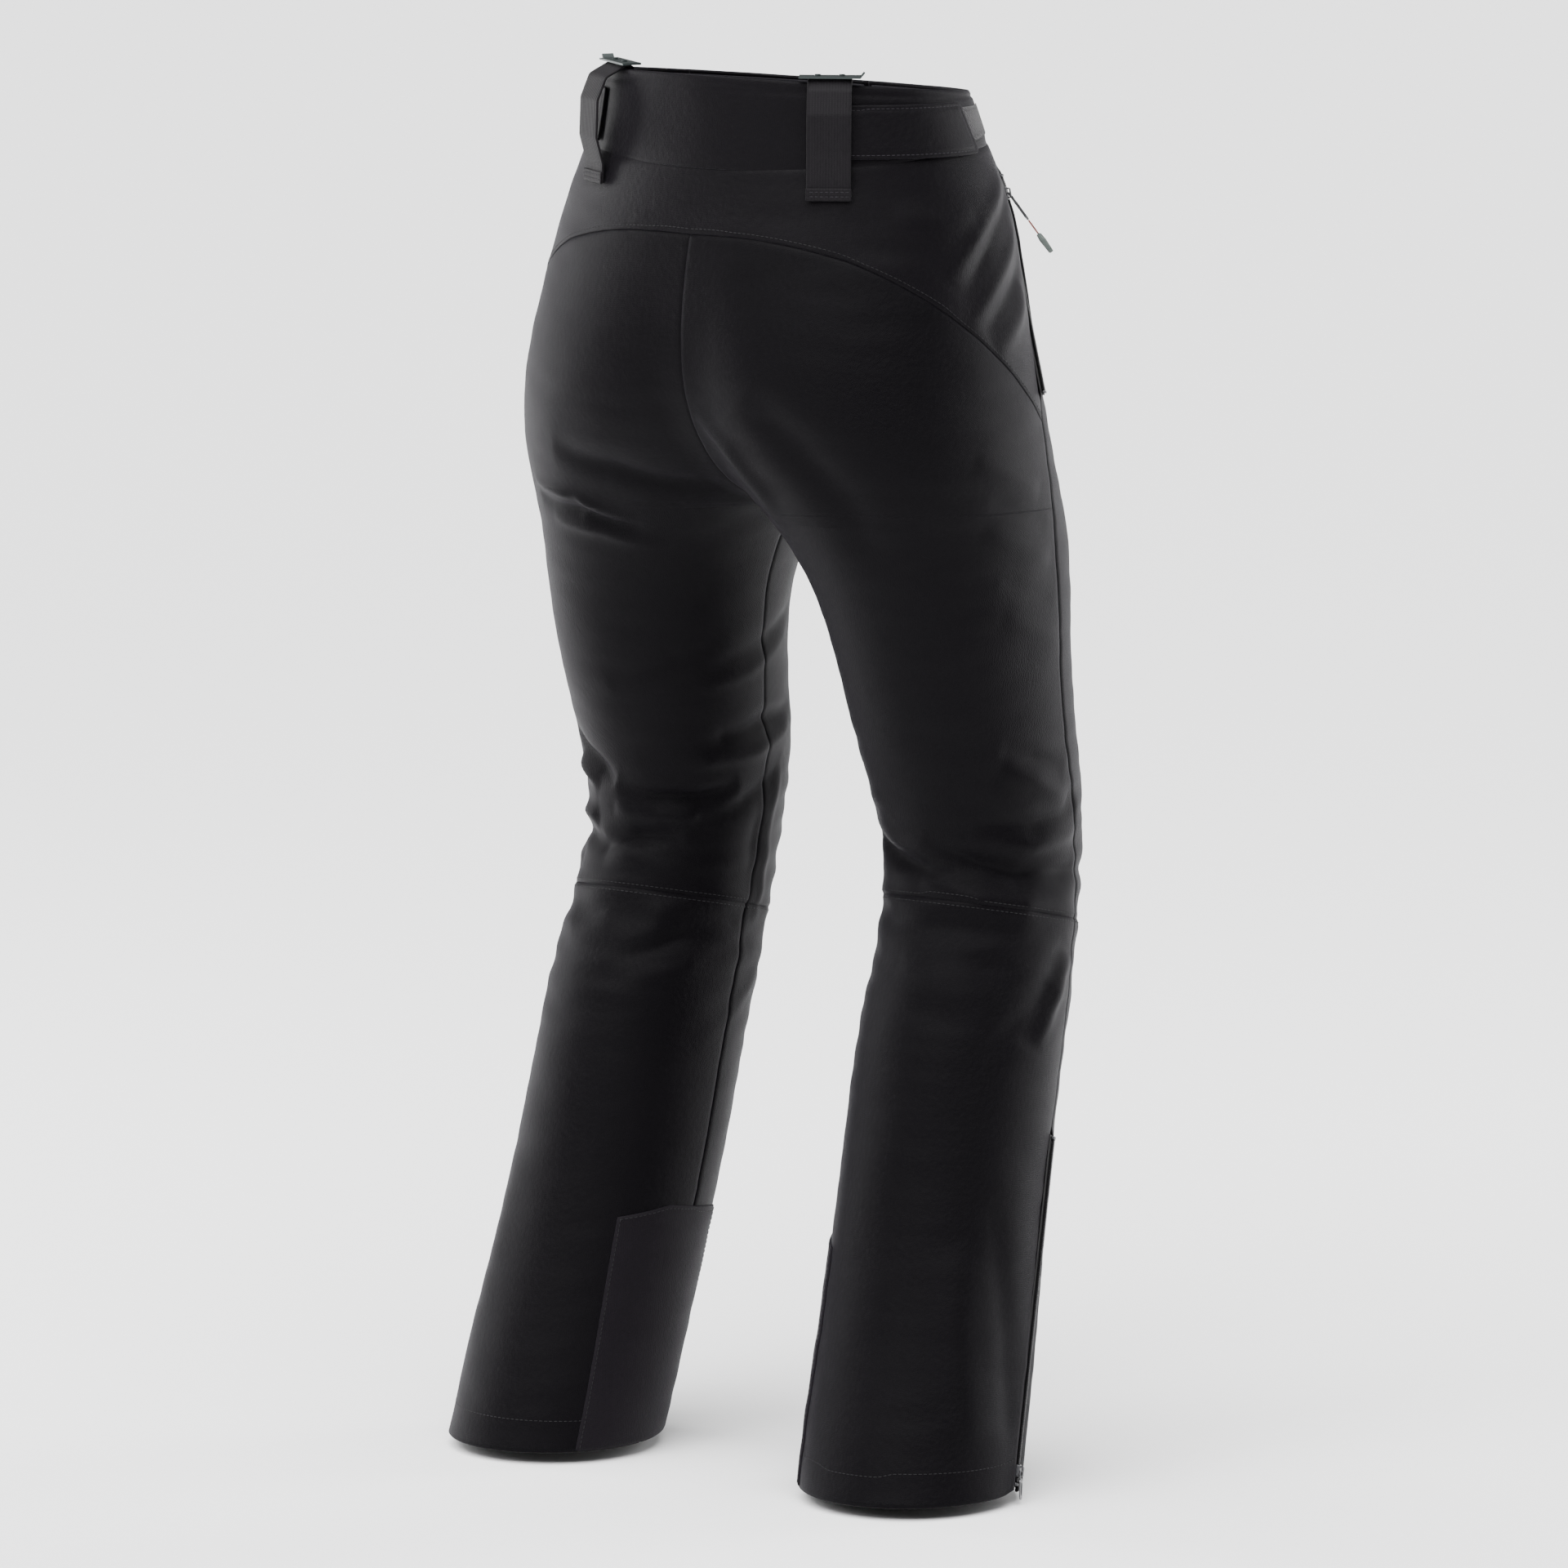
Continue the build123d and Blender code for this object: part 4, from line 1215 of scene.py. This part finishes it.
def block(size, corner):
    """Rounded block as an eight-sided prism with bevelled ends: points and faces about the origin."""
    sx, sy, sz = (s / 2 for s in size)
    loop = [(-sx + corner, -sy), (sx - corner, -sy), (sx, -sy + corner), (sx, sy - corner),
            (sx - corner, sy), (-sx + corner, sy), (-sx, sy - corner), (-sx, -sy + corner)]
    rings = [(-sz, 1 - corner), (-sz + corner, 1), (sz - corner, 1), (sz, 1 - corner)]
    return np.array([(x * k, y * k, z) for z, k in rings for x, y in loop]), tube_faces(4, 8)


class Heap:
    """Many small closed pieces in one mesh."""

    def __init__(self):
        self.vertices, self.faces, self.marks, self.count = [], [], [], 0

    def add(self, piece, at, axes, mark=0):
        points, faces = piece
        self.vertices.append(np.asarray(at) + points @ np.array(axes))
        order = -1 if np.linalg.det(np.array(axes)) < 0 else 1
        self.faces += [[i + self.count for i in face[::order]] for face in faces]
        self.marks += [mark] * len(faces)
        self.count += len(points)

    def object(self, name, materials):
        vertices = np.vstack(self.vertices)
        obj = make_object(name, vertices, self.faces, materials[0], vertices[:, :2])
        for extra in materials[1:]:
            obj.data.materials.append(extra)
        obj.data.polygons.foreach_set("material_index", self.marks)
        return obj


def make_zip_chain(name, kind, side, body, node):
    start, along, across, out, length = zip_frame(ZIPS[kind], side)
    heap = Heap()

    def put(piece, x, y, z, mark):
        heap.add(piece, start + along * x + across * y + out * z, (along, across, out), mark)

    tape = block((length - 0.4, TAPE_WIDTH, TAPE_LEVEL - 0.1), 0.12)
    cord = block((length - 2, CORD_WIDTH, CORD_HEIGHT), 0.15)
    for sign in (-1, 1):
        put(tape, length / 2, sign * TAPE_ASIDE, TAPE_LEVEL / 2, 0)
        put(cord, length / 2, sign * CORD_ASIDE, TAPE_LEVEL + 0.42, 0)
    head = block((HEAD_LENGTH, HEAD_WIDTH, HEAD_LEVEL - RAIL_LEVEL - 0.1), 0.22)
    for k in range(int((length - 2 * CHAIN_END) / (TOOTH_PITCH / 2))):
        y = HEAD_ASIDE if k % 2 else -HEAD_ASIDE
        put(head, CHAIN_END + k * TOOTH_PITCH / 2, y, (RAIL_LEVEL + HEAD_LEVEL) / 2, 1)
    stop = block(STOP_SIZE, 0.35)
    for x in (2, length - 2):
        put(stop, x, 0, TAPE_LEVEL + 1.3, 2)
    stand_in(heap.object(name, [TAPE, TEETH, BLACK_METAL]), "zip_tape", node, body=body)


def make_zips():
    for side in SIDES:
        for kind, body in (("pocket", "trousers"), ("ankle", f"shin_{side}")):
            make_zip_chain(f"{kind}_teeth_{side}", kind, side, body, f"{kind}_zip_chain_{side}")
    make_zip_chain("fly_teeth", "fly", "left", "trousers", "fly_zip_chain")


# --- stitches ---

STITCH = 2.7
STITCH_GAP = 1.1
STITCH_THICK = 0.55
STITCH_LIFT = 0.12
# How far each row lies from its piece's edge.
BELOW_KNEE, ABOVE_KNEE, ABOVE_HEM, FROM_EDGE = 4.2, 4.0, 24, 3.0
# One stitch along its length: place and thickness as shares of the whole.
STITCH_SHAPE = ((-0.5, 0.25), (-0.38, 0.8), (0, 1.0), (0.38, 0.8), (0.5, 0.25))


def stitch_piece():
    points = []
    for x, r in STITCH_SHAPE:
        thick = r * STITCH_THICK / 2
        for k in range(6):
            a = k * math.pi / 3
            points.append((x * STITCH, thick * math.cos(a), thick * math.sin(a)))
    return np.array(points), tube_faces(len(STITCH_SHAPE), 6, flip=True)


def sewn(name, rows, thread, lift=STITCH_LIFT):
    """Rows of stitches in one mesh; each row is a line of points on the cloth and its normals."""
    heap, piece = Heap(), stitch_piece()
    for line, normals in rows:
        run = run_along(line)
        for t in np.arange(STITCH, run[-1] - STITCH / 2, STITCH + STITCH_GAP):
            behind, here, ahead = (np.array([np.interp(t + d, run, c) for c in line.T]) for d in (-1, 0, 1))
            along = (ahead - behind) / np.linalg.norm(ahead - behind)
            normal = np.array([np.interp(t, run, c) for c in normals.T])
            normal = normal - along * (normal @ along)
            normal /= np.linalg.norm(normal)
            heap.add(piece, here + normal * lift, (along, np.cross(normal, along), normal))
    return heap.object(name, [thread])


def inside_edge(grid, edge, distance):
    """Line on a panel at a distance from one of its edges, slightly smoothed, and its normals."""
    points, normals, across, down = grid
    axis = 0 if edge in ("top", "bottom") else 1
    nearest = np.argmin(np.abs(from_edges(across, down)[edge] - distance), axis=axis)
    pick = (nearest, np.arange(len(nearest))) if axis == 0 else (np.arange(len(nearest)), nearest)
    line = points[pick].copy()
    for _ in range(6):
        line[1:-1] = (line[:-2] + 2 * line[1:-1] + line[2:]) / 4
    return line, normals[pick]


def make_stitches():
    for side in SIDES:
        shins = [panel_points(part, side, "knee", "hem") for part in ("back", "front")]
        thigh = panel_points("back", side, "yoke", "knee")
        rows = [inside_edge(grid, "top", BELOW_KNEE) for grid in shins]
        rows.append(inside_edge(thigh, "bottom", ABOVE_KNEE))
        bend_at_knee(sewn(f"seam_stitches_{side}", rows, DARK_THREAD))
        rows = [inside_edge(grid, "bottom", ABOVE_HEM) for grid in shins]
        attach(sewn(f"hem_stitches_{side}", rows, DARK_THREAD), f"shin_{side}")
        yoke = panel_points("back", side, "band", "yoke", -YOKE_OUT)
        rows = [inside_edge(yoke, "bottom", FROM_EDGE)]
        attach(sewn(f"yoke_stitches_{side}", rows, DARK_THREAD), "trousers")
        guard = guard_grid(side)
        rows = [inside_edge(guard, edge, FROM_EDGE) for edge in ("top", "start", "end")]
        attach(sewn(f"guard_stitches_{side}", rows, DARK_THREAD), f"shin_{side}")
        tab = mirrored(strap_on_band(*TAB), side)
        rows = [inside_edge(tab, edge, FROM_EDGE) for edge in ("top", "bottom", "end")]
        root_at_loop(sewn(f"tab_stitches_{side}", rows, THREAD, 0.0))
        points, normals, _, down = fold_grid(side)
        picks = [int(np.argmin(np.abs(down[:, 0] - reach))) for reach in FOLD_ROWS]
        rows = [(points[k] + normals[k] * 0.45, normals[k]) for k in picks]
        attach(sewn(f"loop_stitches_{side}", rows, THREAD, 0.1), "trousers")


# --- metal and moulded parts carried over ---

# The first name found in a node's own name decides its surface.
FINISHES = [("brace_plate", PLATE_METAL), ("press_stud_caps", BLACK_METAL),
            ("press_stud_posts", BRIGHT_METAL), ("_pull_link", WIRE), ("_pull_tip", GRIP),
            ("_slider", BLACK_METAL), ("_pull", BRIGHT_METAL)]


def finish_hardware():
    """Better surfaces for the CAD pieces that stay."""
    for name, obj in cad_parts.items():
        finish = next((material for part, material in FINISHES if part in name), None)
        for holder in obj.material_slots if finish else ():
            holder.material = finish


make_linings()
make_guards()
make_pocket_bags()
make_hem_facings()
make_gaiters()
make_waistband()
make_adjusters()
make_loops()
make_zips()
make_stitches()
finish_hardware()
